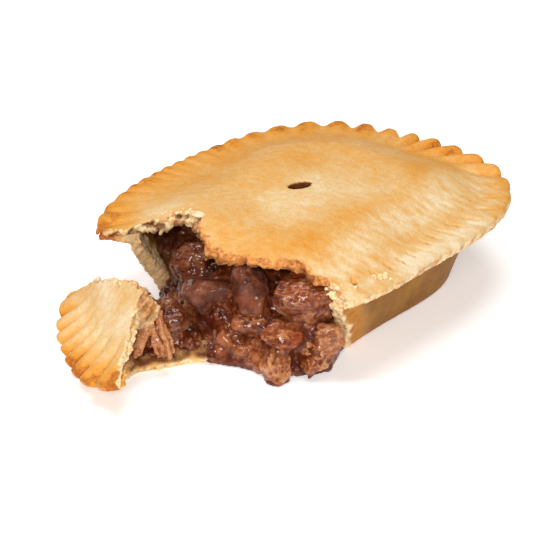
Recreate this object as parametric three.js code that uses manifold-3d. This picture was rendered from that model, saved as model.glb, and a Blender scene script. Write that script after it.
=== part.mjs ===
// An oblong steak and kidney pie with one short end broken off, in millimetres, +Z up.
// The origin is the middle of the pie's base on the surface it stands on; the broken end faces -Y.
import * as THREE from "three";
import { mergeVertices } from "three/addons/utils/BufferGeometryUtils.js";
import Module from "manifold-3d";

const wasm = await Module();
wasm.setup();

// Plan of the pie over its rim, and how square its corners are
const RIM_LENGTH = 136;
const RIM_WIDTH = 108;
const PLAN_POWER = 2.85;

// Heights of the rim, where the lid's flange lies on the case's flange
const RIM_TOP = 31;
const SEAM = 29.2;
const RIM_BOTTOM = 27.6;
const GAP = 0.3;

// Case: flange width, inset of the foot, pastry thickness
const FLANGE = 10;
const BASE_INSET = 20;
const WALL = 4;

// Lid: rise of the dome over the rim, where it starts and ends, thickness
const DOME = 7;
const DOME_START = 6;
const DOME_END = 36;
const LID_THICK = 4;

// Crimps round the rim: wider at the corners and ends, deep at the back, low on the right, four samples to a crimp
const CRIMPS = 48;
const CRIMP_START = 2.445;
const CRIMP_CORNERS = 2;
const CRIMP_ENDS = 3;
const CRIMP_OUT = 0.75;
const CRIMP_UP = 0.6;
const CRIMP_SIDE = 0.5;
const CRIMP_BACK = 1.05;
const CRIMP_BACK_AT = 2.05;
const CRIMP_BACK_SPAN = 0.45;
const CRIMP_FRONT = 0.3;
const CRIMP_RIGHT = 0.3;
const CRIMP_SHAPE = [1, 0.35, -1, 0.35];

// Rings of the lofts: fine ones carry the crimps, coarse ones the smooth parts
const FINE = CRIMPS * CRIMP_SHAPE.length;
const COARSE = FINE / 3;
const PLAIN = FINE / 6;

// Steam slit in the lid
const SLIT_LENGTH = 9;
const SLIT_WIDTH = 3.6;
const SLIT_AT = [-0.9, -0.1];
const SLIT_TURN = Math.atan2(8.2, 3.3);

// Tear across the pie: where the lid's edge runs (x, y), how fast the case recedes below the seam
const LID_TEAR = [
  [-60, -62], [-44, -54], [-33, -48], [-28, -41], [-21, -37], [-15.5, -36], [-8.4, -41], [-2, -46],
  [9, -46.6], [20, -42.5], [27, -39], [38, -39], [46, -41.6], [52, -45.5], [60, -49],
];
const TEAR_SLANT = 0.62;
const CRAG = 0.75;
const TEAR_CLEAR = 2.4;

// Filling that slumps out of the break: its edge on the floor, its peak and its rise
const SPILL_EDGE = [
  [-33, -27], [-29.5, -38], [-19, -48.5], [-3, -53.5], [7, -53.6], [14.7, -51], [21.5, -50.4], [28, -47.8],
  [32, -43], [36.2, -37.4], [34, -27], [27, -16], [2, -12], [-20, -16],
];
const SPILL_PEAK = [3, -24];
const SPILL_TOP = 32.4;
const SPILL_POWER = 0.62;
const PACKED_FACE = -27;
const PACKED_LEFT = 10;
const END_SPILL_EDGE = [
  [-34, -60], [-30, -68], [-20, -72.5], [-11.5, -70], [-6, -62.6], [0.5, -56], [-3, -53.5], [-12, -52.5], [-24, -53],
];
const END_SPILL_PEAK = [-14, -61];
const END_SPILL_TOP = 21;

// Broken-off end: the part of the rim it takes, and how it lies tipped over on its rim
const END_TEAR = [
  [-60, -80], [-39, -60], [-34, -51.5], [-30, -48], [-23, -45], [-9, -41.8], [6, -37.5], [16, -37],
  [18, -43.5], [21.5, -47.5], [26, -51], [31, -55.5], [36, -60], [42, -75],
];
const END_TIP = 36;
const END_ROLL = -8;
const END_YAW = -34;
const END_AT = [-27.2, -81.6, 2.4];
const END_LUMP_AT = [12, -41, 31];
const END_LUMP = [9, 7, 4];

// Crust folded under the broken-off end, in its own turned frame on the floor
const FOLD_EDGE = [
  [10, 12.5], [7, 18.5], [7.4, 26], [6.6, 34], [7.2, 40.5], [2, 42], [-8, 38], [-18, 33], [-26, 25], [-27, 16],
  [-20, 8.5], [-8, 6], [4, 7.5],
];
const FOLD_THICK = 4;
const FOLD_FACE = 7.4;
const FOLD_RUN = 8;
const FOLD_RISE = 3.6;
const FOLD_AT = [-24, -83.7];

// Meat: middle, half sizes, turns about X, Y and Z in degrees, squareness, seed
const CHUNKS = {
  steak_chunk_1: { at: [-17.5, -34.5, 20.8], half: [7.6, 7.4, 6.8], turn: [20, -14, 24], power: 3, seed: 11 },
  kidney_chunk_1: { at: [-3.2, -43.5, 16.4], half: [8.2, 6.6, 6.4], turn: [24, 12, 38], power: 4, seed: 23 },
  kidney_chunk_2: { at: [11.4, -41.6, 21.8], half: [5.6, 5.6, 9.4], turn: [-18, -24, 30], power: 2.4, seed: 37 },
  steak_chunk_2: { at: [28.4, -36.2, 22], half: [10.2, 7.6, 8.6], turn: [10, 6, 38], power: 3.2, seed: 41 },
  steak_chunk_3: { at: [35.2, -37.8, 11.2], half: [7, 5.2, 4.6], turn: [12, -10, 30], power: 2.8, seed: 53 },
  steak_chunk_4: { at: [27, -46.4, 13.8], half: [6.4, 4.4, 4], turn: [-16, 14, 40], power: 2.6, seed: 61 },
  steak_chunk_5: { at: [25.2, -47.4, 5.4], half: [8, 4.6, 4.8], turn: [10, 18, -42], power: 2.6, seed: 73 },
  steak_chunk_6: { at: [35, -39.2, 6.2], half: [4.4, 6.2, 4.6], turn: [20, 8, 24], power: 2.8, seed: 79 },
  end_steak_chunk: { at: [-6.4, -59.4, 13.6], half: [6.6, 5.6, 6.6], turn: [12, -14, 24], power: 2.8, seed: 89 },
  end_steak_strip_1: { at: [-9, -67.5, 13.4], half: [2.2, 2.6, 8.4], turn: [-24, 12, 20], power: 2.8, seed: 83 },
  end_steak_strip_2: { at: [-4.6, -66.2, 12.8], half: [2.4, 2.6, 8.2], turn: [-12, -16, 36], power: 2.8, seed: 97 },
};

const RAD = Math.PI / 180;

// Random draw, seeded
function draw(seed) {
  let state = seed >>> 0;
  return () => {
    state = (state + 0x6d2b79f5) >>> 0;
    let t = Math.imul(state ^ (state >>> 15), state | 1);
    t ^= t + Math.imul(t ^ (t >>> 7), t | 61);
    return ((t ^ (t >>> 14)) >>> 0) / 4294967296;
  };
}

// Smooth lumpy field in space: a few crossing waves with seeded directions
function lumps(seed, size, waves = 7) {
  const next = draw(seed);
  const list = [];
  for (let i = 0; i < waves; i += 1) {
    const way = new THREE.Vector3(next() - 0.5, next() - 0.5, next() - 0.5).normalize();
    const step = (Math.PI * 2) / (size * (0.6 + next() * 0.9));
    list.push([way.multiplyScalar(step), next() * Math.PI * 2]);
  }
  return (x, y, z) => {
    let sum = 0;
    for (const [way, phase] of list) {
      sum += Math.sin(way.x * x + way.y * y + way.z * z + phase);
    }
    return sum / Math.sqrt(waves);
  };
}

function smooth(t) {
  const c = Math.min(1, Math.max(0, t));
  return c * c * (3 - 2 * c);
}

// Height of a broken line at x
function along(points, x) {
  for (let i = 1; i < points.length; i += 1) {
    const [xa, ya] = points[i - 1];
    const [xb, yb] = points[i];
    if (x <= xb) {
      return ya + ((yb - ya) * Math.max(0, x - xa)) / (xb - xa);
    }
  }
  return points[points.length - 1][1];
}

// Solids from triangles and back
function solidFrom(geometry) {
  const plain = new THREE.BufferGeometry();
  plain.setAttribute("position", geometry.getAttribute("position"));
  if (geometry.index) {
    plain.setIndex(geometry.index);
  }
  const merged = mergeVertices(plain, 1e-4);
  const points = new Float32Array(merged.getAttribute("position").array);
  const corners = new Uint32Array(merged.index.array);
  return new wasm.Manifold(new wasm.Mesh({ numProp: 3, vertProperties: points, triVerts: corners }));
}

// Largest connected body of a solid, as geometry
function geometryFrom(solid) {
  const mesh = solid.getMesh();
  const step = mesh.numProp;
  const points = [];
  for (let i = 0; i < mesh.vertProperties.length; i += step) {
    points.push(mesh.vertProperties[i], mesh.vertProperties[i + 1], mesh.vertProperties[i + 2]);
  }
  const raw = new THREE.BufferGeometry();
  raw.setAttribute("position", new THREE.Float32BufferAttribute(points, 3));
  raw.setIndex(Array.from(mesh.triVerts));
  const merged = mergeVertices(raw, 1e-3);
  const corners = merged.index.array;
  const home = Array.from({ length: merged.getAttribute("position").count }, (_, i) => i);
  const find = (i) => {
    let at = i;
    while (home[at] !== at) {
      home[at] = home[home[at]];
      at = home[at];
    }
    return at;
  };
  for (let i = 0; i < corners.length; i += 3) {
    home[find(corners[i])] = find(corners[i + 1]);
    home[find(corners[i + 1])] = find(corners[i + 2]);
  }
  const tally = new Map();
  for (let i = 0; i < corners.length; i += 3) {
    const body = find(corners[i]);
    tally.set(body, (tally.get(body) || 0) + 1);
  }
  const largest = [...tally.entries()].sort((a, b) => b[1] - a[1])[0][0];
  const kept = [];
  for (let i = 0; i < corners.length; i += 3) {
    const flat = corners[i] === corners[i + 1] || corners[i + 1] === corners[i + 2] || corners[i] === corners[i + 2];
    if (find(corners[i]) === largest && !flat) {
      kept.push(corners[i], corners[i + 1], corners[i + 2]);
    }
  }
  merged.setIndex(kept);
  return mergeVertices(merged.toNonIndexed(), 1e-3);
}

// Loft through closed rings, from a pole before the first to a pole after the last; rising lofts are turned
function loft(startPole, rings, endPole, rising = false) {
  const points = [];
  const corners = [];
  const add = (p) => points.push(p[0], p[1], p[2]) / 3 - 1;
  const first = add(startPole);
  let last = null;
  for (const ring of rings) {
    const here = ring.map(add);
    if (!last) {
      here.forEach((a, i) => corners.push(first, a, here[(i + 1) % here.length]));
    } else {
      stitch(last, here, corners);
    }
    last = here;
  }
  const final = add(endPole);
  last.forEach((a, i) => corners.push(final, last[(i + 1) % last.length], a));
  if (rising) {
    corners.reverse();
  }
  const geometry = new THREE.BufferGeometry();
  geometry.setAttribute("position", new THREE.Float32BufferAttribute(points, 3));
  geometry.setIndex(corners);
  return geometry;
}

// Band of triangles between two rings whose counts divide each other
function stitch(a, b, corners) {
  const total = Math.max(a.length, b.length);
  for (let i = 0; i < total; i += 1) {
    const a0 = Math.floor((i * a.length) / total);
    const a1 = Math.floor(((i + 1) * a.length) / total);
    const b0 = Math.floor((i * b.length) / total);
    const b1 = Math.floor(((i + 1) * b.length) / total);
    const pa = a[a0 % a.length];
    const qa = a[a1 % a.length];
    const pb = b[b0 % b.length];
    const qb = b[b1 % b.length];
    if (pb !== qb) {
      corners.push(pa, pb, qb);
    }
    if (pa !== qa) {
      corners.push(pa, qb, qa);
    }
  }
}

// Angle of sample i round the rim: crimps are drawn out at the corners and ends
function rimAngle(i) {
  const even = (i / FINE) * Math.PI * 2 + CRIMP_START / CRIMPS;
  let angle = even;
  for (let k = 0; k < 40; k += 1) {
    angle = even - (CRIMP_CORNERS * Math.sin(4 * angle) + CRIMP_ENDS * Math.sin(2 * angle)) / CRIMPS;
  }
  return angle;
}

function crimpDepth(angle) {
  const back = Math.exp(-(((angle - CRIMP_BACK_AT) / CRIMP_BACK_SPAN) ** 2));
  const front = Math.max(0, -Math.sin(angle)) ** 2;
  const right = Math.max(0, Math.cos(angle)) ** 2;
  return CRIMP_SIDE + CRIMP_BACK * back + CRIMP_FRONT * front - CRIMP_RIGHT * right;
}

function uneven(angle) {
  return -1.05 * Math.cos(3 * angle) + 0.65 * Math.sin(4 * angle) + 0.5 * Math.cos(angle) + 0.4 * Math.sin(angle);
}

function planRadius(angle, inset) {
  const c = Math.abs(Math.cos(angle)) / (RIM_WIDTH / 2 - inset);
  const s = Math.abs(Math.sin(angle)) / (RIM_LENGTH / 2 - inset);
  const even = (c ** PLAN_POWER + s ** PLAN_POWER) ** (-1 / PLAN_POWER);
  return even + uneven(angle) * Math.max(0, 1 - inset / 34);
}

// Ring at an inset from the rim, shrunk to the middle by scale, with a share of the crimps
function ring(count, inset, height, crimp = 0, scale = 1) {
  const skip = FINE / count;
  return Array.from({ length: count }, (_, i) => {
    const at = i * skip;
    const angle = rimAngle(at);
    const wave = crimp * crimpDepth(angle) * CRIMP_SHAPE[at % CRIMP_SHAPE.length];
    const radius = (planRadius(angle, inset) + wave * CRIMP_OUT) * scale;
    const x = radius * Math.cos(angle);
    const y = radius * Math.sin(angle);
    return [x, y, height(x, y) + wave * CRIMP_UP];
  });
}

const level = (z) => () => z;
const lidLumps = lumps(5, 42);

function lidRise(inset) {
  return DOME * smooth((inset - DOME_START) / (DOME_END - DOME_START));
}

// Lid, with everything pushed out by grow
function makeLid(grow) {
  const top = (inset) => (x, y) => {
    const ease = smooth((inset - 4) / 16);
    return RIM_TOP + lidRise(inset) + ease * 0.45 * lidLumps(x, y, 0) + grow;
  };
  const under = (inset) => level(Math.max(SEAM + GAP / 2, RIM_TOP + lidRise(inset) - LID_THICK) - grow);
  const rings = [
    ring(COARSE, 34, top(40), 0, 0.3),
    ring(COARSE, 34, top(40), 0, 0.65),
    ring(COARSE, 34, top(34)),
    ring(COARSE, 25, top(25)),
    ring(COARSE, 17, top(17)),
    ring(FINE, 11.5 - grow, top(11.5), 0.3),
    ring(FINE, 5 - grow, top(5), 0.9),
    ring(FINE, 0.4 - grow, level(RIM_TOP - 0.4 + grow), 1),
    ring(FINE, 0.2 - grow, level(SEAM + GAP / 2 - grow), 1),
    ring(COARSE, FLANGE + WALL - 1, under(0)),
    ring(COARSE, 20 + grow, under(20)),
    ring(COARSE, 34, under(34)),
    ring(COARSE, 34, under(40), 0, 0.5),
  ];
  const centre = top(40)(0, 0);
  return solidFrom(loft([0, 0, centre], rings, [0, 0, under(40)(0, 0)]));
}

// Case, with everything pushed out by grow
function makeCase(grow) {
  const seam = level(SEAM - GAP / 2 + grow);
  const bottom = level(RIM_BOTTOM - grow);
  const rings = [
    ring(COARSE, BASE_INSET + 2, level(-grow), 0, 0.5),
    ring(COARSE, BASE_INSET + 0.6 - grow, level(-grow)),
    ring(COARSE, BASE_INSET - 1.2 - grow, level(2)),
    ring(COARSE, (FLANGE + BASE_INSET) / 2 - 0.4 - grow, level(RIM_BOTTOM / 2)),
    ring(COARSE, FLANGE - grow, level(RIM_BOTTOM - 1.2 - grow)),
    ring(FINE, 0.7 - grow, bottom, 1),
    ring(FINE, 0.3 - grow, seam, 1),
    ring(COARSE, FLANGE + WALL - 1 + grow, seam),
    ring(COARSE, FLANGE + WALL + grow, level(SEAM - 4)),
    ring(COARSE, BASE_INSET + WALL - 1 + grow, level(WALL + 3)),
    ring(COARSE, BASE_INSET + WALL + 2 + grow, level(WALL + grow)),
    ring(COARSE, BASE_INSET + WALL + 3, level(WALL + grow), 0, 0.5),
  ];
  return solidFrom(loft([0, 0, -grow], rings, [0, 0, WALL + grow], true));
}

// Space inside the pastry, a gap short of it all round
function makeInside() {
  const under = (inset) => level(RIM_TOP + lidRise(inset) - LID_THICK - GAP);
  const rings = [
    ring(PLAIN, BASE_INSET + WALL + 2.4 + GAP, level(WALL + GAP)),
    ring(PLAIN, BASE_INSET + WALL - 0.6 + GAP, level(WALL + 3.2)),
    ring(PLAIN, FLANGE + WALL + 0.3 + GAP, level(SEAM - 4)),
    ring(PLAIN, FLANGE + WALL + GAP, level(SEAM - GAP)),
    ring(PLAIN, 20.8, under(20)),
    ring(PLAIN, 34, under(34)),
    ring(PLAIN, 34, under(40), 0, 0.5),
  ];
  return solidFrom(loft([0, 0, WALL + GAP], rings, [0, 0, under(40)(0, 0)], true));
}

// Everything on the -Y side of a rough face y = face(x, z)
function tornSide(face, from, to, stepX, stepZ) {
  const columns = Math.round((to - from) / stepX);
  const rows = Math.round(70 / stepZ);
  const points = [];
  const corners = [];
  const id = (side, i, j) => side * (columns + 1) * (rows + 1) + j * (columns + 1) + i;
  for (let side = 0; side < 2; side += 1) {
    for (let j = 0; j <= rows; j += 1) {
      for (let i = 0; i <= columns; i += 1) {
        const x = from + i * stepX;
        const z = -15 + j * stepZ;
        points.push(x, side ? -130 : face(x, z), z);
      }
    }
  }
  const quad = (a, b, c, d) => corners.push(a, b, c, a, c, d);
  for (let j = 0; j < rows; j += 1) {
    for (let i = 0; i < columns; i += 1) {
      quad(id(0, i, j), id(0, i, j + 1), id(0, i + 1, j + 1), id(0, i + 1, j));
      quad(id(1, i, j), id(1, i + 1, j), id(1, i + 1, j + 1), id(1, i, j + 1));
    }
    quad(id(0, 0, j), id(1, 0, j), id(1, 0, j + 1), id(0, 0, j + 1));
    quad(id(0, columns, j), id(0, columns, j + 1), id(1, columns, j + 1), id(1, columns, j));
  }
  for (let i = 0; i < columns; i += 1) {
    quad(id(0, i, 0), id(0, i + 1, 0), id(1, i + 1, 0), id(1, i, 0));
    quad(id(0, i, rows), id(1, i, rows), id(1, i + 1, rows), id(0, i + 1, rows));
  }
  const geometry = new THREE.BufferGeometry();
  geometry.setAttribute("position", new THREE.Float32BufferAttribute(points, 3));
  geometry.setIndex(corners);
  return solidFrom(geometry);
}

const crags = lumps(17, 9);
const flakes = lumps(29, 4.2);

function tearLine(x, z) {
  return along(LID_TEAR, x) + TEAR_SLANT * Math.max(0, SEAM - z);
}

function tearFace(x, z) {
  return tearLine(x, z) + CRAG * crags(x, 0, z) + CRAG * 0.7 * flakes(x, 3, z * 1.6);
}

// Face of the packed filling: further forward on the left, where it lies against the wall
function packedFace(x, z) {
  const left = smooth((-10 - x) / 8);
  return PACKED_FACE - left * (PACKED_LEFT - 0.3 * Math.max(0, 20 - z)) + 0.8 * crags(x, 2, z);
}

function endFace(x, z) {
  const rough = CRAG * crags(x, 7, z) + CRAG * 0.7 * flakes(x, 11, z * 1.6);
  const middle = 0.3 * Math.max(0, SEAM - z);
  return along(END_TEAR, x) + rough - middle;
}

// Heap with a drawn edge on the floor, rising to a peak, pushed out by grow
function heap(edge, peak, top, power, seed, grow) {
  const curve = new THREE.CatmullRomCurve3(edge.map(([x, y]) => new THREE.Vector3(x, y, 0)), true);
  const outline = curve.getSpacedPoints(36).slice(0, 36);
  const rough = lumps(seed, 8);
  const shares = [0, 0.05, 0.16, 0.3, 0.46, 0.65, 0.85];
  const rings = shares.map((share) => outline.map((p) => {
    const x = p.x + (peak[0] - p.x) * share;
    const y = p.y + (peak[1] - p.y) * share;
    const z = top * share ** power;
    const bulge = share ? 0.9 * rough(x, y, z) + grow : 0;
    const reach = Math.hypot(p.x - peak[0], p.y - peak[1]);
    const out = (grow * (1 - share)) / reach;
    return [x + (p.x - peak[0]) * out, y + (p.y - peak[1]) * out, z + bulge];
  }));
  return solidFrom(loft([peak[0], peak[1], 0], turnedWay(rings), [peak[0], peak[1], top + grow]));
}

// Rings listed the other way round when they run clockwise as seen from above
function turnedWay(rings) {
  let area = 0;
  rings[0].forEach((p, i) => {
    const q = rings[0][(i + 1) % rings[0].length];
    area += p[0] * q[1] - p[1] * q[0];
  });
  return area > 0 ? rings.map((list) => [...list].reverse()) : rings;
}

// One piece of meat, boxy and lumpy, pushed out by grow
function makeChunk({ at, half, turn, power, seed }, grow) {
  const geometry = new THREE.IcosahedronGeometry(1, half[0] < 3 ? 1 : 2);
  const place = geometry.getAttribute("position");
  const rough = lumps(seed, 1.3);
  const spin = new THREE.Euler(turn[0] * RAD, turn[1] * RAD, turn[2] * RAD, "ZYX");
  const p = new THREE.Vector3();
  for (let i = 0; i < place.count; i += 1) {
    p.fromBufferAttribute(place, i);
    const reach = (Math.abs(p.x) ** power + Math.abs(p.y) ** power + Math.abs(p.z) ** power) ** (-1 / power);
    const dent = 1 + 0.1 * rough(p.x, p.y, p.z);
    p.multiplyScalar(reach * dent);
    p.multiply(new THREE.Vector3(half[0] + grow, half[1] + grow, half[2] + grow));
    p.applyEuler(spin);
    place.setXYZ(i, p.x + at[0], p.y + at[1], p.z + at[2]);
  }
  return solidFrom(geometry);
}

// Slab with a drawn edge, its top hollowed a little like a folded crust and rising away from its near edge
function slab(edge, thick, grow) {
  const curve = new THREE.CatmullRomCurve3(edge.map(([x, y]) => new THREE.Vector3(x, y, 0)), true);
  const outline = curve.getSpacedPoints(32).slice(0, 32);
  const middle = new THREE.Vector3();
  outline.forEach((p) => middle.addScaledVector(p, 1 / outline.length));
  const rough = lumps(31, 6);
  const at = (share, z, wave) => outline.map((p) => {
    const reach = p.clone().sub(middle);
    const out = grow / reach.length();
    const edgeRough = wave * 0.05 * rough(p.x, p.y, z);
    const q = middle.clone().addScaledVector(reach, share * (1 + edgeRough) + out);
    const rise = FOLD_RISE * smooth((FOLD_FACE - q.x) / FOLD_RUN) * (z / thick);
    return [q.x, q.y, z + (z > 1 ? rise + 0.35 * rough(q.x, q.y, 4) : 0)];
  });
  const rings = [
    at(0.94, -grow, 0.5),
    at(1, thick * 0.4, 1),
    at(0.97, thick * 0.85 + grow, 1),
    at(0.84, thick + grow, 0.6),
    at(0.5, thick * 0.8 + grow, 0),
  ];
  const crown = thick * 0.75 + FOLD_RISE * 0.75 + grow;
  return solidFrom(loft([middle.x, middle.y, -grow], turnedWay(rings), [middle.x, middle.y, crown]));
}

// Ball drawn out to half sizes
function ballSolid(at, half) {
  const geometry = new THREE.SphereGeometry(1, 10, 6);
  geometry.scale(...half);
  geometry.translate(...at);
  return solidFrom(geometry);
}

function boxSolid(low, high) {
  const size = high.map((v, i) => v - low[i]);
  const geometry = new THREE.BoxGeometry(...size);
  geometry.translate(...low.map((v, i) => v + size[i] / 2));
  return solidFrom(geometry);
}

// How the broken-off end lies: tipped about its rim, rolled and turned on the floor
const endPose = new THREE.Matrix4().makeTranslation(...END_AT)
  .multiply(new THREE.Matrix4().makeRotationZ(END_YAW * RAD))
  .multiply(new THREE.Matrix4().makeRotationY(END_ROLL * RAD))
  .multiply(new THREE.Matrix4().makeRotationX(END_TIP * RAD))
  .multiply(new THREE.Matrix4().makeTranslation(0, -planRadius(-Math.PI / 2, 0) * -1, -SEAM));
const foldPose = new THREE.Matrix4().makeTranslation(FOLD_AT[0], FOLD_AT[1], 0)
  .multiply(new THREE.Matrix4().makeRotationZ(END_YAW * RAD));

function posed(solid, matrix) {
  const geometry = geometryFrom(solid);
  geometry.applyMatrix4(matrix);
  return solidFrom(geometry);
}

// Pie with its broken end taken away
const tear = tornSide(tearFace, -72, 72, 2.7, 2.4);
const tearWide = tornSide((x, z) => tearLine(x, z) - TEAR_CLEAR, -72, 72, 8, 10);
const slitShape = new THREE.SphereGeometry(1, 20, 12);
slitShape.scale(SLIT_LENGTH / 2, SLIT_WIDTH / 2, 9);
slitShape.rotateZ(SLIT_TURN);
slitShape.translate(SLIT_AT[0], SLIT_AT[1], RIM_TOP + DOME - LID_THICK / 2);
const wholeLid = makeLid(0);
const wholeCase = makeCase(0);
const lid = wholeLid.subtract(solidFrom(slitShape)).subtract(tear);
const caseBody = wholeCase.subtract(tear);
const lidWide = makeLid(GAP).subtract(tearWide);
const caseWide = makeCase(GAP).subtract(tearWide);

// Broken-off end: lid and lower flange tipped over, with the rest of the crust folded under it
const endSide = tornSide(endFace, -72, 72, 2.7, 2.4);
const aboveFloor = boxSolid([-150, -150, 0], [150, 150, 80]);
const flangeOnly = boxSolid([-90, -90, RIM_BOTTOM - 0.9], [90, 90, SEAM + 5]);
const soaked = ballSolid(END_LUMP_AT, END_LUMP);
const soakedWide = ballSolid(END_LUMP_AT, END_LUMP.map((v) => v + GAP));
const endLid = posed(wholeLid.add(soaked).intersect(endSide), endPose).intersect(aboveFloor);
const endFlange = posed(wholeCase.intersect(endSide).intersect(flangeOnly), endPose);
const fold = posed(slab(FOLD_EDGE, FOLD_THICK, 0), foldPose);
const endLidWide = posed(makeLid(GAP).add(soakedWide).intersect(endSide), endPose);
const flangeWide = boxSolid([-90, -90, RIM_BOTTOM - 0.9 - GAP], [90, 90, SEAM + 5]);
const endFlangeWide = posed(makeCase(GAP).intersect(endSide).intersect(flangeWide), endPose);
const foldWide = posed(slab(FOLD_EDGE, FOLD_THICK, GAP), foldPose);
const endCase = endFlange.add(fold).subtract(endLidWide).intersect(aboveFloor);

// Filling: packed inside the pie, slumping out of the break, with a smaller heap in the broken-off end
const inside = makeInside();
const spill = heap(SPILL_EDGE, SPILL_PEAK, SPILL_TOP, SPILL_POWER, 43, 0);
const packed = inside.subtract(tornSide(packedFace, -72, 72, 5, 6));
const endKeepOut = endLidWide.add(foldWide).add(endFlangeWide);
const endHollow = tornSide((x) => along(END_TEAR, x) - 2, -60, 3, 4.5, 70);
const endInside = posed(inside.intersect(endHollow), endPose).intersect(aboveFloor);
const endHeap = heap(END_SPILL_EDGE, END_SPILL_PEAK, END_SPILL_TOP, SPILL_POWER, 59, 0);
const endHeapWide = heap(END_SPILL_EDGE, END_SPILL_PEAK, END_SPILL_TOP, SPILL_POWER, 59, GAP);

const bodies = {};
const meatWide = [];
for (const [name, spec] of Object.entries(CHUNKS)) {
  let body = makeChunk(spec, 0).intersect(aboveFloor);
  for (const other of meatWide) {
    body = body.subtract(other);
  }
  body = body.subtract(lidWide).subtract(caseWide).subtract(endKeepOut);
  bodies[name] = body;
  meatWide.push(makeChunk(spec, GAP));
}
let filling = packed.add(spill).subtract(lidWide).subtract(caseWide).subtract(endKeepOut).subtract(endHeapWide);
let endFilling = endInside.add(endHeap).subtract(endKeepOut);
for (const other of meatWide) {
  filling = filling.subtract(other);
  endFilling = endFilling.subtract(other);
}

const COLOURS = { crust: 0xd9a65c, gravy: 0x5a2a17, steak: 0x7a4030, kidney: 0x58342c };

function mesh(name, solid, slot) {
  const geometry = geometryFrom(solid);
  geometry.computeVertexNormals();
  const look = new THREE.MeshStandardMaterial({ color: COLOURS[slot], roughness: 0.6 });
  const node = new THREE.Mesh(geometry, look);
  node.name = name;
  return node;
}

const pie = new THREE.Group();
pie.name = "steak_and_kidney_pie";
pie.add(mesh("pastry_case", caseBody, "crust"));
pie.add(mesh("pastry_lid", lid, "crust"));
pie.add(mesh("filling", filling, "gravy"));
pie.add(mesh("end_lid", endLid, "crust"));
pie.add(mesh("end_case", endCase, "crust"));
pie.add(mesh("end_filling", endFilling, "gravy"));
for (const [name, body] of Object.entries(bodies)) {
  pie.add(mesh(name, body, name.startsWith("kidney") ? "kidney" : "steak"));
}

export default pie;
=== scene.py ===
# A steak and kidney pie with one end broken off: its looks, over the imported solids.
# Shapes are distance fields in millimetres, in the part's frame, turned into meshes in metres.
from collections import namedtuple
import math
import bmesh
import bpy
import numpy as np
import openvdb
from mathutils import Matrix, Vector


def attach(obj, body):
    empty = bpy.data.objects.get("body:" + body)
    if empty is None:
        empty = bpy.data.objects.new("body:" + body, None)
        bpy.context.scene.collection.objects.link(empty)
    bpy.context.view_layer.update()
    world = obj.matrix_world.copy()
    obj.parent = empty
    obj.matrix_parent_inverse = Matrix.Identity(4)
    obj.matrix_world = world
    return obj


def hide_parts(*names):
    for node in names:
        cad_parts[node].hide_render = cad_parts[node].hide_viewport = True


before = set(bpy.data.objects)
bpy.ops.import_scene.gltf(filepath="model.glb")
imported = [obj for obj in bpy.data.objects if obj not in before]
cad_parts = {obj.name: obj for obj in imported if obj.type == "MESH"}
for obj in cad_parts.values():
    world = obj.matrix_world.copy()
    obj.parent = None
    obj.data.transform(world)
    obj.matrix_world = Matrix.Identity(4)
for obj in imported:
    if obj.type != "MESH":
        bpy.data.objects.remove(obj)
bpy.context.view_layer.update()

# Plan, rim and pastry, as in the part's source, but with the slit a little shorter and wider
RIM_LENGTH = 136.0
RIM_WIDTH = 108.0
PLAN_POWER = 2.85
PLAN_WAVES = [(-1.05, np.cos, 3), (0.65, np.sin, 4), (0.5, np.cos, 1), (0.4, np.sin, 1)]
RIM_TOP = 31.0
SEAM = 29.2
RIM_BOTTOM = 27.6
GAP = 0.3
FLANGE = 10.0
WALL = 4.0
DOME = 7.0
DOME_START = 6.0
DOME_END = 36.0
LID_THICK = 4.0
LID_LUMP = 0.45
CRIMPS = 48
CRIMP_START = 2.445
CRIMP_CORNERS = 2
CRIMP_ENDS = 3
CRIMP_OUT = 0.75
CRIMP_UP = 0.6
CRIMP_SIDE = 0.5
CRIMP_BACK = 1.05
CRIMP_BACK_AT = 2.05
CRIMP_BACK_SPAN = 0.45
CRIMP_FRONT = 0.3
CRIMP_RIGHT = 0.3
SLIT_LENGTH = 8.4
SLIT_WIDTH = 4.6
SLIT_AT = (-0.9, -0.1)
SLIT_TURN = math.atan2(8.2, 3.3)

# Outside and inside of the wall: height, and distance in from the rim
OUTER_WALL = [(0, 21.5), (1, 19.6), (2, 18.8), (13.8, 14.6), (26.4, 10), (40, 8)]
INNER_WALL = [(4, 26), (7, 23), (25.2, 14), (29, 13), (40, 13)]
WALL_LEAN = 0.93

# Uneven crimps, those that slant like rope, the lid's hem over the seam, and fork dents inside the rim
CRIMP_SEED = 7
CRIMP_SIZES = (0.82, 1.2)
CRIMP_VALLEY = 1.6
CRIMP_REACH = 13.0
ROPE_SLANT = -0.4
ROPE_RELIEF = 2.8
HEM = 0.9
HEM_RIGHT = 1.0
DENT_DEPTH = 1.5
DENT_INSET = 7.4
DENT_SWAY = 1.2
DENT_LENGTH = 2.0
DENT_WIDTH = 0.13

# Tear across the pie, spilled filling, and the broken-off end, as in the part's source
LID_TEAR = [
    (-60, -62), (-44, -54), (-33, -48), (-28, -41), (-21, -37), (-15.5, -36), (-8.4, -41), (-2, -46),
    (9, -46.6), (20, -42.5), (27, -39), (38, -39), (46, -41.6), (52, -45.5), (60, -49),
]
TEAR_SLANT = 0.62
CRAG = 0.75
SPILL_EDGE = [
    (-33, -27), (-29.5, -38), (-19, -48.5), (-3, -53.5), (7, -53.6), (14.7, -51), (21.5, -50.4), (28, -47.8),
    (32, -43), (36.2, -37.4), (34, -27), (27, -16), (2, -12), (-20, -16),
]
SPILL_POWER = 0.62
PACKED_FACE = -27.0
PACKED_LEFT = 10.0
END_SPILL_EDGE = [
    (-34, -60), (-30, -68), (-20, -72.5), (-11.5, -70), (-6, -62.6), (0.5, -56), (-3, -53.5), (-12, -52.5),
    (-24, -53),
]
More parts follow.
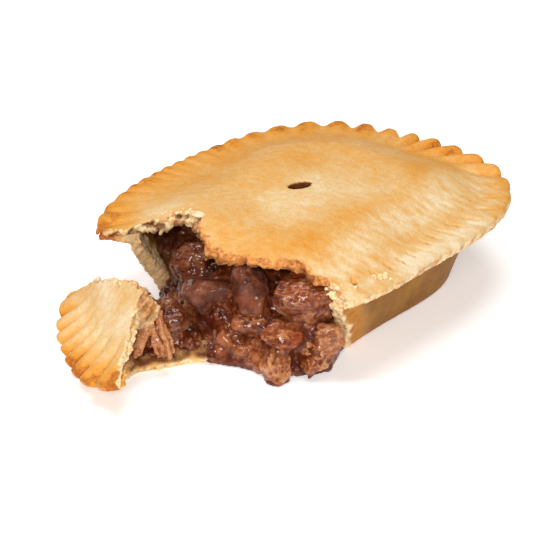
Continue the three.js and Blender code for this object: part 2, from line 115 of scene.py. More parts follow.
END_TEAR = [
    (-60, -80), (-39, -60), (-34, -51.5), (-30, -48), (-23, -45), (-9, -41.8), (6, -37.5), (16, -37),
    (18, -43.5), (21.5, -47.5), (26, -51), (31, -55.5), (36, -60), (42, -75),
]
END_SLANT = 0.3
END_TIP = 36
END_ROLL = -8
END_YAW = -34
END_AT = (-27.2, -81.6, 2.4)
END_LUMP_AT = (12, -41, 31)
END_LUMP = (9, 7, 4)
FOLD_EDGE = [
    (10, 12.5), (7, 18.5), (7.4, 26), (6.6, 34), (7.2, 40.5), (2, 42), (-8, 38), (-18, 33), (-26, 25),
    (-27, 16), (-20, 8.5), (-8, 6), (4, 7.5),
]
FOLD_THICK = 4.0
FOLD_FACE = 7.4
FOLD_RUN = 8.0
FOLD_RISE = 3.6
FOLD_AT = (-24, -83.7)

# Folded crust: height of its top and lift of its underside, by share of the way out to its edge, and a crumb
FOLD_TOP = [(0, 0.75), (0.5, 0.8), (0.84, 1.0), (0.97, 0.85), (1.0, 0.5)]
FOLD_LOW = [(0.9, 0.0), (1.0, 0.25)]
FOLD_CRUMB_AT = (2.6, -53.2, 4.2)
FOLD_CRUMB = (1.6, 1.4, 2.6)

# Spilled filling: edge, peak, height and seed
Heap = namedtuple("Heap", "edge peak top seed")
SPILL = Heap(SPILL_EDGE, (3, -24), 32.4, 43)
END_SPILL = Heap(END_SPILL_EDGE, (-14, -61), 21.0, 59)
HEAP_LUMP = 0.9

# Meat: middle, half sizes, turns about X, Y and Z in degrees, squareness and seed, then looks: darkness
# (painted shade on the pieces lying under the lids, a darker tone on the rest), paleness, strength of the
# grain, bend out of the plain form, flat cuts, depth to the gravy and its lap
Chunk = namedtuple(
    "Chunk", "at half turn power seed shade pale grain bend cuts cover lap",
    defaults=(0.0, 0.0, 1.0, 0.55, 10, 0.75, 5.6))
END_LAP = {"cover": 0.8, "lap": 3.6}
CHUNKS = {
    "steak_chunk_1": Chunk(
        (-17.5, -34.5, 20.8), (7.6, 7.4, 6.8), (20, -14, 24), 3.0, 11, shade=0.58, cover=2.0, lap=3.0),
    "kidney_chunk_1": Chunk(
        (-3.2, -43.5, 16.4), (8.2, 6.6, 6.4), (24, 12, 38), 4.0, 23, shade=0.15, cover=1.3, lap=4.0),
    "kidney_chunk_2": Chunk((11.4, -41.6, 21.8), (5.6, 5.6, 9.4), (-18, -24, 30), 2.4, 37),
    "steak_chunk_2": Chunk((28.4, -36.2, 22), (10.2, 7.6, 8.6), (10, 6, 38), 3.2, 41, shade=0.36),
    "steak_chunk_3": Chunk(
        (35.2, -37.8, 11.2), (7, 5.2, 4.6), (12, -10, 30), 2.8, 53,
        shade=0.12, pale=0.25, grain=1.7, cover=0.55, lap=5.0),
    "steak_chunk_4": Chunk((27, -46.4, 13.8), (6.4, 4.4, 4), (-16, 14, 40), 2.6, 61, shade=0.18),
    "steak_chunk_5": Chunk(
        (25.2, -47.4, 5.4), (8, 4.6, 4.8), (10, 18, -42), 2.6, 73,
        shade=0.08, pale=0.1, grain=1.1, bend=0.4, cuts=6, cover=0.3, lap=3.0),
    "steak_chunk_6": Chunk(
        (35, -39.2, 6.2), (4.4, 6.2, 4.6), (20, 8, 24), 2.8, 79,
        shade=0.15, grain=1.4, cover=0.3, lap=3.5),
    "end_steak_chunk": Chunk(
        (-6.4, -59.4, 13.6), (6.6, 5.6, 6.6), (12, -14, 24), 2.8, 89, shade=0.62, **END_LAP),
    "end_steak_strip_1": Chunk(
        (-9, -67.5, 13.4), (2.2, 2.6, 8.4), (-24, 12, 20), 2.8, 83, pale=0.08, bend=1.0, **END_LAP),
    "end_steak_strip_2": Chunk(
        (-4.6, -66.2, 12.8), (2.4, 2.6, 8.2), (-12, -16, 36), 2.8, 97, pale=0.16, bend=1.0, **END_LAP),
}
STRANDS = 12

# Layers of noise: size in millimetres or share, lumps to a millimetre along each axis, seed or its step
SLIT_RAG = [(0.14, 0.9, 3), (0.14, 1.9, 4)]
FINE_CRUMB = [(1.3, (0.3, 0.3, 0.55), 0), (1.0, (0.62, 0.62, 1.1), 1), (0.5, (1.2, 1.2, 1.7), 2)]
PITS = [(0.8, 0.5, 0), (0.7, 1.2, 1), (0.6, (0.25, 0.25, 1.3), 4), (0.3, 2.1, 5)]
SKIN = [(0.07, 0.5, 2), (0.12, 0.12, 3)]
FOLD_RAG = [(0.7, (0.3, 0.3, 0.5), 41), (0.35, 1.0, 42)]
LID_BRUSH = [(1.0, (1 / 9, 1 / 1.7, 0), 48), (0.9, (1 / 12, 1 / 14, 0), 49)]
LID_PATCHES = [(0.16, (1 / 24, 1 / 30, 0), 51), (0.1, (1 / 8, 1 / 11, 0), 52)]
LID_STREAKS = [(0.24, (1 / 5, 1 / 2, 0), 53), (0.2, (1 / 11, 1 / 7, 0), 54)]
LID_CLUMPS = [(1.0, 0.36, 46)]
LID_SOAK = [(2.0, 1 / 2.6, 47)]
LID_TOAST = [(2.5, (1 / 3, 1 / 3, 1 / 1.6), 64)]
CASE_PATCHES = [(0.12, (1 / 16, 1 / 16, 1 / 12), 55), (0.08, (1 / 4, 1 / 4, 1 / 7), 56)]
CASE_DEPTHS = [(2.0, 1 / 3, 63)]
END_FLAKES = [(1.0, (1 / 3.6, 1 / 3.6, 1 / 2.2), 86), (0.9, (1 / 5, 1 / 5, 1.0), 79)]
END_PATCHES = [(0.26, (1 / 12, 1 / 9, 0), 57)]
END_TOAST = [(1.5, (1 / 6, 1 / 6, 1 / 1.2), 59)]
END_SOAK = [(0.9, (1 / 4, 1 / 4, 1 / 1.4), 84)]
FOLD_PATCHES = [(0.14, 1 / 7, 58)]
FOLD_TORN = [(1.2, 1 / 3, 87)]
FOLD_LAP = [(1.4, 1 / 5, 88)]
FOLD_SOAK = [(0.55, 1 / 3, 89)]
FOLD_SHEET = [(1.2, 1 / 4, 90)]
GRAVY_ROUGH = [(0.35, 0.4, 0), (0.3, 0.9, 1), (0.12, 1.7, 2)]
MEAT_WARP = [(1.3, 0.2, 4), (0.6, 0.5, 7)]
MEAT_LUMPS = {"steak": [(0.25, 0.2, 2), (0.2, 0.6, 6)], "strip": [], "kidney": [(0.55, 0.2, 2)]}
MEAT_CRESTS = {
    "steak": [(0.3, (0.14, 0.36, 0.36), 3), (0.28, (0.4, 1.0, 1.0), 1)],
    "strip": [(0.2, (1.1, 1.1, 0.4), 3)],
    "kidney": [(0.2, 0.3, 3)],
}

# Painted shade and highlight on the meat, darker in its creases and lighter on its crests: even value, and
# share of its grain
MEAT_PAINTED_RELIEF_SHADE = {"steak": (0.5, 1.0), "strip": (0.8, 0.6), "kidney": (0.5, 0.6)}

# Spots on the lid paler or browner than the rest: middle, reach along X and Y, change of browning
BAKE_SPOTS = [
    ((3, 0), (15, 24), -0.3),
    ((-30, -33), (10, 9), -0.4),
    ((15, -31), (13, 8), 0.12),
    ((38, -27), (10, 13), -0.14),
    ((-43, -46), (9, 9), 0.32),
    ((50, -29), (6, 8), 0.42),
    ((38, 40), (14, 14), -0.12),
]

# Bits of meat in the gravy: count, seed, radii, half lengths, corners of the patch they lie in, blend
SPILL_BITS = [
    (110, 3, (0.6, 1.8), (0.0, 1.6), (-34, -58), (40, -30), 0.8),
    (80, 4, (0.4, 0.8), (1.5, 4.0), (-14, -58), (40, -30), 0.5),
]
END_SPILL_BITS = [(60, 6, (0.5, 1.4), (0.0, 1.4), (-22, -74), (2, -54), 0.7)]

# One larger bit: middle, radius, direction, half length
SPILL_LUMP = ((14.5, -46.2, 13.0), 2.4, (0.8, 0.6, 0.0), 3.5)
SPILL_LUMP_BLEND = 2.0

# Filling wedged under the broken-off lid: short of the tear, right end, distance in from the rim, depth
WEDGE_SHORT = 2
WEDGE_RIGHT = 3
WEDGE_INSET = 14
WEDGE_DEEP = 26

# Thin gravy on the folded crust: share of the way out that it covers, and thickness
SHEET_SHARE = 0.86
SHEET_THICK = 1.0

# Gravy in the slit: height of its middle, and half its depth
PLUG_AT = 34.2
PLUG_HALF = 2.2

# Loose crumbs on the lid: middle, spread, count and size of each handful
HANDFULS = [((48.9, -26), 1.9, 16, 1.5), ((-22, -36.5), 5.0, 9, 1.0), ((44, -37.5), 2.6, 8, 1.0)]

# A lifted flake of skin beside the tear
FLAKE_AT = (-13.4, -35.6)
FLAKE = (2.0, 1.6, 0.25)
FLAKE_TILT = 0.25

# Boxes that hold each piece with room to spare, the size of their cells, and points on a closed curve
LID_BOX = ((-58, -58, 26), (58, 73, 40.5), 0.55)
CASE_BOX = ((-58, -58, -1.5), (58, 73, 31), 0.7)
FILLING_BOX = ((-44, -58, -1.2), (44, 52, 37.5), 0.6)
END_BOX = ((-62, -104, -1), (14, -42, 36), 0.5)
MEAT_STEP = 0.4
CURVE_POINTS = 700

# How far from a break its fine crumb is worked out
FINE_REACH = 5

# Lean of the faces of the breaks, clear space round the gravy, and lowest heights of meat and gravy
FACE_LEAN = 0.8
CLEAR = 0.2
MEAT_FLOOR = 0.02
GRAVY_FLOOR = 0.01

# Tones of the materials: share, and red, green and blue out of 255
CRUST_TONES = [
    (0.0, (243, 220, 182)),
    (0.12, (238, 206, 156)),
    (0.3, (233, 190, 128)),
    (0.55, (230, 169, 88)),
    (0.8, (227, 151, 54)),
    (1.0, (176, 94, 26)),
]
WALL_TONES = [(0.36, (120, 74, 17)), (0.5, (148, 96, 23)), (0.64, (170, 120, 40))]
CRUMB_TONES = [(0.28, (210, 146, 70)), (0.44, (247, 209, 144)), (0.64, (254, 238, 202))]
TOAST_TONES = [(0.3, (88, 36, 10)), (0.42, (196, 104, 32)), (0.65, (246, 172, 82))]
STAIN_TONES = [(0.3, (70, 32, 14)), (0.7, (140, 78, 36))]
GRAVY_TONES = [(0.3, (70, 27, 11)), (0.5, (102, 42, 17)), (0.7, (168, 96, 54))]
SPECK = (186, 116, 48)
# Painted shade: tone of the crumb in its pits, also of random flecks on the loose crumbs
PIT_SHADE_AND_FLECK = (170, 102, 44)
# Painted shade: tone of the gravy deep in the hollow under the lid
GRAVY_PAINTED_SHADE = (52, 20, 9)
STEAK_TONES = ((70, 24, 10), (158, 76, 38), (228, 160, 104), (186, 80, 28))
KIDNEY_TONES = ((64, 28, 18), (112, 60, 41), (166, 106, 78), (148, 78, 46))

# Floor, lights (place, size and power) and camera, in metres, watts and degrees
FLOOR_SIZE = 3
FLOOR_GREY = 0.95
FLOOR_ROUGH = 0.9
FLOOR_GLOW = 0.36
SKY = 0.2
LIGHTS = {
    "key": ((-0.4, -0.2, 0.8), 0.36, 2.6),
    "front": ((0.46, -0.69, 0.4), 0.3, 4.2),
    "top": ((0.06, 0.04, 0.92), 0.5, 3.8),
}
LIGHT_AIM = (0, -0.02, 0.02)
CAMERA_TURN = 37.0
CAMERA_HEIGHT = 26.6
CAMERA_AIM = (0.003, -0.021, 0.018)
CAMERA_AWAY = 0.684
SENSOR = 36
FOCAL_PIXELS = 2200
PICTURE_PIXELS = 540
CLIP_END = 20


# Seeded draws and lumpy waves, the same as in the part's source
def draw(seed):
    state = seed & 0xFFFFFFFF
    while True:
        state = (state + 0x6D2B79F5) & 0xFFFFFFFF
        t = ((state ^ (state >> 15)) * (state | 1)) & 0xFFFFFFFF
        t = (t ^ (t + (((t ^ (t >> 7)) * (t | 61)) & 0xFFFFFFFF))) & 0xFFFFFFFF
        yield ((t ^ (t >> 14)) & 0xFFFFFFFF) / 4294967296


def lumps(seed, size, waves=7):
    source = draw(seed)
    ways = []
    for _ in range(waves):
        way = Vector([next(source) - 0.5 for _ in range(3)]).normalized()
        step = math.pi * 2 / (size * (0.6 + next(source) * 0.9))
        ways.append((way.x * step, way.y * step, way.z * step, next(source) * math.pi * 2))

    def field(x, y, z):
        total = 0
        for wx, wy, wz, phase in ways:
            total = total + np.sin(wx * x + wy * y + wz * z + phase)
        return total / math.sqrt(waves)

    return field


# Gradient noise on points, about -1 to 1, one lump to a unit
def noise(x, y, z, seed=0):
    x, y, z = np.broadcast_arrays(x, y, z)
    ix, iy, iz = (np.floor(v).astype(np.int64) for v in (x, y, z))
    fx, fy, fz = x - ix, y - iy, z - iz
    ux, uy, uz = (f * f * f * (f * (f * 6 - 15) + 10) for f in (fx, fy, fz))
    total = 0
    for dx, dy, dz in np.ndindex(2, 2, 2):
        h = (ix + dx) * 374761393 + (iy + dy) * 668265263 + (iz + dz) * 2246822519 + seed * 974711
        h = (h & 0xFFFFFFFF).astype(np.uint32)
        h = (h ^ (h >> np.uint32(15))) * np.uint32(2246822519)
        h = (h ^ (h >> np.uint32(13))) * np.uint32(3266489917)
        h = h ^ (h >> np.uint32(16))
        gx, gy, gz = (((h >> np.uint32(s)) & np.uint32(1023)) / 511.5 - 1 for s in (0, 10, 20))
        weight = (ux if dx else 1 - ux) * (uy if dy else 1 - uy) * (uz if dz else 1 - uz)
        total = total + weight * (gx * (fx - dx) + gy * (fy - dy) + gz * (fz - dz))
    return total * 1.3


# Sum of layers of noise, as soft lumps or as sharp crests
def mottle(place, layers, seed=0, crests=False):
    total = 0
    for amount, scale, step in layers:
        scale = scale if isinstance(scale, tuple) else (scale,) * 3
        lump = noise(*(v * s for v, s in zip(place, scale)), seed + step)
        total = total + amount * (0.5 - 1.8 * np.abs(lump) if crests else lump)
    return total


# Largest of several values, and so what several fields have in common
def most(first, *rest):
    for other in rest:
        first = np.maximum(first, other)
    return first


def smooth(t):
    c = np.clip(t, 0, 1)
    return c * c * (3 - 2 * c)


# Smooth step from 0 at the start to 1 at the end
def ease(value, start, end):
    return smooth((value - start) / (end - start))


def bell(u, v=0):
    return np.exp(-u * u - v * v)


def smooth_max(a, b, k):
    h = np.clip(0.5 + 0.5 * (a - b) / k, 0, 1)
    return b + (a - b) * h + k * h * (1 - h)


def smooth_min(a, b, k):
    return -smooth_max(-a, -b, k)


def along(points, x):
    return np.interp(x, [p[0] for p in points], [p[1] for p in points])


# Turns about X, then Y, then Z, in degrees
def spin(turn, size):
    rx, ry, rz = (math.radians(v) for v in turn)
    return Matrix.Rotation(rz, size, "Z") @ Matrix.Rotation(ry, size, "Y") @ Matrix.Rotation(rx, size, "X")


# Points in plan, in a frame at a place and turned
def plan_local(x, y, at, turn):
    dx, dy = x - at[0], y - at[1]
    c, s = math.cos(turn), math.sin(turn)
    return dx * c + dy * s, dy * c - dx * s


# Rim: outline, how far it leans from the radius, and the crimps, by angle
ANGLES = np.linspace(-math.pi, math.pi, 8193)


def plan_radius(angle):
    c = np.abs(np.cos(angle)) / (RIM_WIDTH / 2)
    s = np.abs(np.sin(angle)) / (RIM_LENGTH / 2)
    even = (c ** PLAN_POWER + s ** PLAN_POWER) ** (-1 / PLAN_POWER)
    return even + sum(size * wave(count * angle) for size, wave, count in PLAN_WAVES)


def crimp_turn(angle):
    return CRIMPS * angle + CRIMP_CORNERS * np.sin(4 * angle) + CRIMP_ENDS * np.sin(2 * angle) - CRIMP_START


# Depth of the crimps by side, each crimp a little different
def crimp_depth(angle):
    sizes = np.random.default_rng(CRIMP_SEED).uniform(*CRIMP_SIZES, CRIMPS)
    share = (crimp_turn(angle) / (2 * math.pi)) % CRIMPS
    sized = np.interp(share, np.arange(CRIMPS + 1), np.append(sizes, sizes[0]))
    back = bell((angle - CRIMP_BACK_AT) / CRIMP_BACK_SPAN)
    front = most(0, -np.sin(angle)) ** 2
    right = most(0, np.cos(angle)) ** 2
    return sized * (CRIMP_SIDE + CRIMP_BACK * back + CRIMP_FRONT * front - CRIMP_RIGHT * right)


RADII = plan_radius(ANGLES)
LEAN = RADII / np.hypot(RADII, np.gradient(RADII, ANGLES))
TURN_COS = np.cos(crimp_turn(ANGLES))
TURN_SIN = np.sin(crimp_turn(ANGLES))
DEPTH = crimp_depth(ANGLES)

# How far the crimps stand out and up by angle: less at the left and right, more where they slant like rope
OUT = CRIMP_OUT * (1 - 0.58 * most(0, -np.cos(ANGLES)) - 0.35 * bell((ANGLES + 2.4) / 0.4))
ROPE_SHARE = ease(ANGLES, 1.8, 1.45) * ease(ANGLES, 0.85, 1.15)
FLAT_LEFT = 0.5 * ease(np.cos(ANGLES), -0.2, -0.6)
FLAT_RIGHT = 0.8 * ease(np.cos(ANGLES), 0.5, 0.8)
RELIEF = CRIMP_UP * (1 + ROPE_RELIEF * ROPE_SHARE) * (1 - FLAT_LEFT - FLAT_RIGHT)
LID_LUMPS = lumps(5, 42)
CRAGS = lumps(17, 9)
FLAKES = lumps(29, 4.2)


# Distance in from the rim, the crimps' wave there with its narrow valleys, and distance in from the crimps
def rim_inset(x, y):
    angle = np.arctan2(y, x)
    inset = (np.interp(angle, ANGLES, RADII) - np.hypot(x, y)) * np.interp(angle, ANGLES, LEAN)
    slant = ROPE_SLANT * np.interp(angle, ANGLES, ROPE_SHARE) * inset
    c = np.interp(angle, ANGLES, TURN_COS)
    s = np.interp(angle, ANGLES, TURN_SIN)
    dip = np.clip((1 - c * np.cos(slant) + s * np.sin(slant)) / 2, 0, 1)
    wave = (1 - 2 * dip ** CRIMP_VALLEY) * np.interp(angle, ANGLES, DEPTH)
    return inset, wave, inset + wave * np.interp(angle, ANGLES, OUT)


def right_side(x):
    return ease(x, 24, 36)


def rim_share(inset, reach):
    return np.exp(-most(inset, 0) / reach)


def lid_rise(inset):
    return DOME * ease(inset, DOME_START, DOME_END)


def lid_under(inset):
    return RIM_TOP + lid_rise(inset) - LID_THICK


def seam_lift(wave, edge):
    return wave * CRIMP_UP * np.clip(1 - edge / CRIMP_REACH, 0, 1)


# Fork dents where the dome meets the flat right-hand rim
def fork_dents(x, y, edge):
    angle = np.arctan2(y, x)
    c = np.interp(angle, ANGLES, TURN_COS)
    right = ease(np.cos(angle), 0.55, 0.8) * ease(x, 26, 34)
    place = bell((edge - DENT_INSET - DENT_SWAY * np.sin(7 * angle)) / DENT_LENGTH)
    return DENT_DEPTH * right * place * bell((1 - c) / DENT_WIDTH)


def lid_top(x, y):
    inset, wave, edge = rim_inset(x, y)
    lump = LID_LUMP * ease(inset, 4, 20) * LID_LUMPS(x, y, 0)
    front = ease(y, -30, -45)
    reach = 1 - ease(edge, 4, 16 + 4 * front)
    relief = np.interp(np.arctan2(y, x), ANGLES, RELIEF)
    top = RIM_TOP + lid_rise(inset) + lump + wave * relief * reach * (1 + 1.3 * front)
    return top - fork_dents(x, y, edge), edge, inset, wave


def lid_field(x, y, z):
    top, edge, inset, wave = lid_top(x, y)
    hem = (HEM + HEM_RIGHT * right_side(x)) * ease(edge, 1.3, 0.4)
    seam = SEAM + GAP / 2 - hem + seam_lift(wave, edge)
    under = most(seam, lid_under(inset))
    body = smooth_max(z - top, under - z, 0.5)
    return smooth_max(body, -edge, 1.1)


def slit_field(x, y):
    u, v = plan_local(x, y, SLIT_AT, SLIT_TURN)
    rag = mottle((x, y, 0 * x), SLIT_RAG)
    return (np.hypot(u / (SLIT_LENGTH / 2), v / (SLIT_WIDTH / 2)) - 1 + rag) * SLIT_WIDTH / 2


def flange_field(x, y, z):
    inset, wave, edge = rim_inset(x, y)
    lift = seam_lift(wave, edge)
    top = SEAM - GAP / 2 + lift
    low = RIM_BOTTOM - 1.2 * np.clip(edge / FLANGE, 0, 1) + lift
    body = smooth_max(z - top, low - z, 0.3)
    body = smooth_max(body, 0.9 + 0.5 * right_side(x) - edge, 0.5)
    return most(body, inset - 13.5)


def case_field(x, y, z):
    inset = rim_inset(x, y)[0]
    hollow = most((along(INNER_WALL, z) - inset) * WALL_LEAN, WALL - z)
    bowl = smooth_max((along(OUTER_WALL, z) - inset) * WALL_LEAN, -z, 1.0)
    bowl = most(bowl, -hollow, z - (SEAM - GAP / 2))
    return smooth_min(bowl, flange_field(x, y, z), 1.6)


# Rough faces of the breaks: the part's own crags and flakes, and finer crumb near the face
def rough_face(line, x, y, z, shift, seed):
    rough = CRAG * CRAGS(x, shift, z) + CRAG * 0.7 * FLAKES(x, shift * 0.6 + 3, z * 1.6)
    face = line + rough
    near = np.abs(y - face) < FINE_REACH
    place = [np.broadcast_to(v, near.shape)[near] for v in (x, y, z)]
    extra = np.zeros(near.shape, np.float32)
    extra[near] = mottle(place, FINE_CRUMB, seed)
    return face + extra


def tear_line(x, z):
    return along(LID_TEAR, x) + TEAR_SLANT * most(0, SEAM - z)


def tear_face(x, y, z):
    return rough_face(tear_line(x, z), x, y, z, 0, 21)


def end_face(x, y, z):
    line = along(END_TEAR, x) - END_SLANT * most(0, SEAM - z)
    return rough_face(line, x, y, z, 7, 31)


# Face of the filling still packed in the pie, further forward at the left
def packed_face(x, z):
    left = ease(x, -10, -18) * (1 - 0.5 * ease(x, -23, -28))
    under = np.minimum(PACKED_LEFT, 1.1 * most(0, z - 23.5))
    return PACKED_FACE - left * (PACKED_LEFT - 0.3 * most(0, 20 - z) - under) + 0.8 * CRAGS(x, 2, z)


# Round closed curve through points
def closed_curve(points):
    p = np.array(points, float)
    n = len(p)
    out = []
    for i in range(n):
        a, b, c, d = p[i - 1], p[i], p[(i + 1) % n], p[(i + 2) % n]
        t = np.linspace(0, 1, CURVE_POINTS // n, endpoint=False)[:, None]
        bend = (2 * a - 5 * b + 4 * c - d) * t ** 2 + (3 * b - a - 3 * c + d) * t ** 3
        out.append(0.5 * (2 * b + (c - a) * t + bend))
    return np.vstack(out)


# Distance of places from a middle, and how far a closed curve reaches that way
def reach_of(points, middle, x, y):
    ring = closed_curve(points) - np.array(middle)
    angle = np.arctan2(ring[:, 1], ring[:, 0])
    reach = np.hypot(ring[:, 0], ring[:, 1])
    dx, dy = x - middle[0], y - middle[1]
    return np.hypot(dx, dy), np.interp(np.arctan2(dy, dx), angle, reach, period=2 * math.pi)


# Spilled filling: height over the floor
def heap_height(x, y, heap):
    far, reach = reach_of(heap.edge, heap.peak, x, y)
    share = np.clip(1 - far / reach, 0, 1)
    height = heap.top * share ** SPILL_POWER
    return height + np.where(share > 0, HEAP_LUMP * lumps(heap.seed, 8)(x, y, height), 0)


def heap_field(block, heap):
    height = heap_height(block.x, block.y, heap)
    gx, gy = np.gradient(height[:, :, 0], block.step)
    slope = np.sqrt(1 + np.minimum(gx * gx + gy * gy, 9))
    return (block.z - height) / slope[:, :, None]


# Crust folded under the broken-off end
def fold_plan(x, y, z):
    u, v = plan_local(x, y, FOLD_AT, math.radians(END_YAW))
    far, reach = reach_of(FOLD_EDGE, closed_curve(FOLD_EDGE).mean(0), u, v)
    return u, far, reach + mottle((x, y, z), FOLD_RAG)


def fold_field(x, y, z):
    u, far, out = fold_plan(x, y, z)
    share = far / out
    rise = FOLD_RISE * ease(u, FOLD_FACE, FOLD_FACE - FOLD_RUN)
    top = (FOLD_THICK + rise) * along(FOLD_TOP, share)
    low = FOLD_THICK * along(FOLD_LOW, share)
    body = smooth_max(z - top, low - z, 0.5)
    return smooth_max(body, (far - out) * FACE_LEAN, 1.0)


def ball_field(place, at, half):
    q = [(v - c) / h for v, c, h in zip(place, at, half)]
    return (np.sqrt(sum(v * v for v in q)) - 1) * min(half)


# Meat: a boxy rounded body in its own turned frame
def chunk_local(chunk, x, y, z):
    dx, dy, dz = x - chunk.at[0], y - chunk.at[1], z - chunk.at[2]
    return [a * dx + b * dy + c * dz for a, b, c in np.array(spin(chunk.turn, 3)).T]


def chunk_field(chunk, x, y, z):
    local = chunk_local(chunk, x, y, z)
    q = [c / h for c, h in zip(local, chunk.half)]
    size = sum(np.abs(c) ** chunk.power for c in q) ** (1 / chunk.power) + 1e-6
    length = np.sqrt(sum(c * c for c in q)) + 1e-6
    dent = 1 + 0.1 * lumps(chunk.seed, 1.3)(*(c / length for c in q))
    away = np.sqrt(sum(c * c for c in local))
    field = away * (1 - dent / size)
    rng = np.random.default_rng(chunk.seed)
    for _ in range(chunk.cuts):
        way = Vector(rng.normal(size=3)).normalized()
        flat = q[0] * way.x + q[1] * way.y + q[2] * way.z - rng.uniform(0.7, 0.94)
        field = smooth_max(field, flat * min(chunk.half), 0.4)
    return field


# A strip of meat as a bundle of strands along its length
def strip_field(chunk, x, y, z):
    half = chunk.half
    u, v, w = chunk_local(chunk, x, y, z)
    rng = np.random.default_rng(chunk.seed)
    field = 1e3
    for _ in range(STRANDS):
        off_u, off_v = rng.uniform(-0.85, 0.85, 2) * half[:2]
        lean_u, lean_v = rng.uniform(-0.1, 0.1, 2)
        low, high = -half[2] * rng.uniform(0.75, 1.0), half[2] * rng.uniform(0.7, 1.0)
        size, phase = rng.uniform(0.6, 0.95), rng.uniform(0, 6)
        side = u - off_u - lean_u * w - 0.35 * np.sin(w / 2.6 + phase)
        flat = v - off_v - lean_v * w
        end = w - np.clip(w, low, high)
        strand = np.sqrt(side ** 2 + flat ** 2 + end ** 2) - size * (1 - 0.12 * (w / half[2]) ** 2)
        field = smooth_min(field, strand, 0.3)
    return field


# Pose of the broken-off end, and points in its own frame
def end_pose():
    turn = spin((END_TIP, END_ROLL, END_YAW), 4)
    back = float(plan_radius(np.array(-math.pi / 2)))
    return Matrix.Translation(END_AT) @ turn @ Matrix.Translation((0, back, -SEAM))


END_BACK = np.array(end_pose().inverted())


def end_local(x, y, z):
    return [a * x + b * y + c * z + d for a, b, c, d in END_BACK[:3]]


# Meshing
class Block:
    def __init__(self, low, high, step):
        self.low = np.array(low, float)
        self.step = step
        self.axes = [np.arange(a, b + step, step, dtype=np.float32) for a, b in zip(low, high)]
        self.place = np.ix_(*self.axes)
        self.x, self.y, self.z = self.place
        self.shape = tuple(len(a) for a in self.axes)

    def mesh(self, field):
        field = np.broadcast_to(field, self.shape).astype(np.float32)
        field = np.clip(field, -3 * self.step, 3 * self.step)
        for axis in range(3):
            ends = np.moveaxis(field, axis, 0)
            ends[0] = most(ends[0], self.step)
            ends[-1] = most(ends[-1], self.step)
        grid = openvdb.FloatGrid(3 * self.step)
        grid.copyFromArray(np.ascontiguousarray(field))
        points, _, quads = grid.convertToPolygons(0.0, 0.0)
        return points * self.step + self.low, quads

    # Points, faces and normals of a field's surface, cut off below a height
    def surface(self, field, lowest=-math.inf):
        points, quads = clean_mesh(*self.mesh(field))
        points[:, 2] = most(points[:, 2], lowest)
        return points, quads, normals_of(points, quads)

    # Presses small rounded bits into a field, each only where it lies
    def add_bits(self, field, bits, blend):
        for centre, size, way, length in bits:
            reach = size + length + 3 * blend
            ranges = []
            for axis in range(3):
                a = int((centre[axis] - reach - self.low[axis]) / self.step)
                b = int((centre[axis] + reach - self.low[axis]) / self.step) + 1
                ranges.append(slice(max(0, a), max(0, b)))
            part = field[tuple(ranges)]
            if part.size == 0:
                continue
            dx, dy, dz = np.ix_(*(axis[r] - c for axis, r, c in zip(self.axes, ranges, centre)))
            t = np.clip(dx * way[0] + dy * way[1] + dz * way[2], -length, length)
            d = np.sqrt((dx - t * way[0]) ** 2 + (dy - t * way[1]) ** 2 + (dz - t * way[2]) ** 2) - size
            field[tuple(ranges)] = smooth_min(part, d, blend)


def largest_body(points, quads):
    home = np.arange(len(points))
    edges = np.concatenate([quads[:, [0, 1]], quads[:, [1, 2]], quads[:, [2, 3]]])
    while True:
        a, b = home[edges[:, 0]], home[edges[:, 1]]
        low = np.minimum(a, b)
        if np.array_equal(a, b):
            break
        np.minimum.at(home, a, low)
        np.minimum.at(home, b, low)
        home = home[home]
        home = home[home]
    names, counts = np.unique(home[quads[:, 0]], return_counts=True)
    keep = home[quads[:, 0]] == names[counts.argmax()]
    quads = quads[keep]
    used, flat = np.unique(quads, return_inverse=True)
    return points[used], flat.reshape(-1, 4)


def normals_of(points, quads):
    face = np.cross(points[quads[:, 2]] - points[quads[:, 0]], points[quads[:, 3]] - points[quads[:, 1]])
    out = np.zeros_like(points)
    for i in range(4):
        np.add.at(out, quads[:, i], face)
    return out / (np.linalg.norm(out, axis=1)[:, None] + 1e-12)


def clean_mesh(points, quads):
    points, quads = largest_body(points, quads.astype(np.int64))
    a, b, c, d = (points[quads[:, i]] for i in range(4))
    volume = np.einsum("ij,ij->i", a, np.cross(b, c)).sum() + np.einsum("ij,ij->i", a, np.cross(c, d)).sum()
    return points, quads if volume > 0 else quads[:, ::-1]


def make_piece(name, points, faces, values, nodes, look):
    sides = faces.shape[1]
    mesh = bpy.data.meshes.new(name)
    mesh.vertices.add(len(points))
    mesh.vertices.foreach_set("co", (points * 0.001).astype(np.float32).ravel())
    mesh.loops.add(faces.size)
    mesh.loops.foreach_set("vertex_index", faces.astype(np.int32).ravel())
    mesh.polygons.add(len(faces))
    mesh.polygons.foreach_set("loop_start", np.arange(0, faces.size, sides, dtype=np.int32))
    mesh.update(calc_edges=True)
    mesh.polygons.foreach_set("use_smooth", np.ones(len(faces), bool))
    for key, value in values.items():
        kind, part = ("FLOAT_VECTOR", "vector") if value.ndim == 2 else ("FLOAT", "value")
        attribute = mesh.attributes.new(key, kind, "POINT")
        attribute.data.foreach_set(part, value.astype(np.float32).ravel())
    mesh.validate()
    piece = bpy.data.objects.new(name, mesh)
    bpy.context.collection.objects.link(piece)
    mesh.materials.append(look)
    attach(piece, "root")
    if nodes:
        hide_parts(*nodes)


# Looks
def colour(r, g, b):
    def part(v):
        v = v / 255
        return v / 12.92 if v <= 0.04045 else ((v + 0.055) / 1.055) ** 2.4
    return (part(r), part(g), part(b), 1.0)


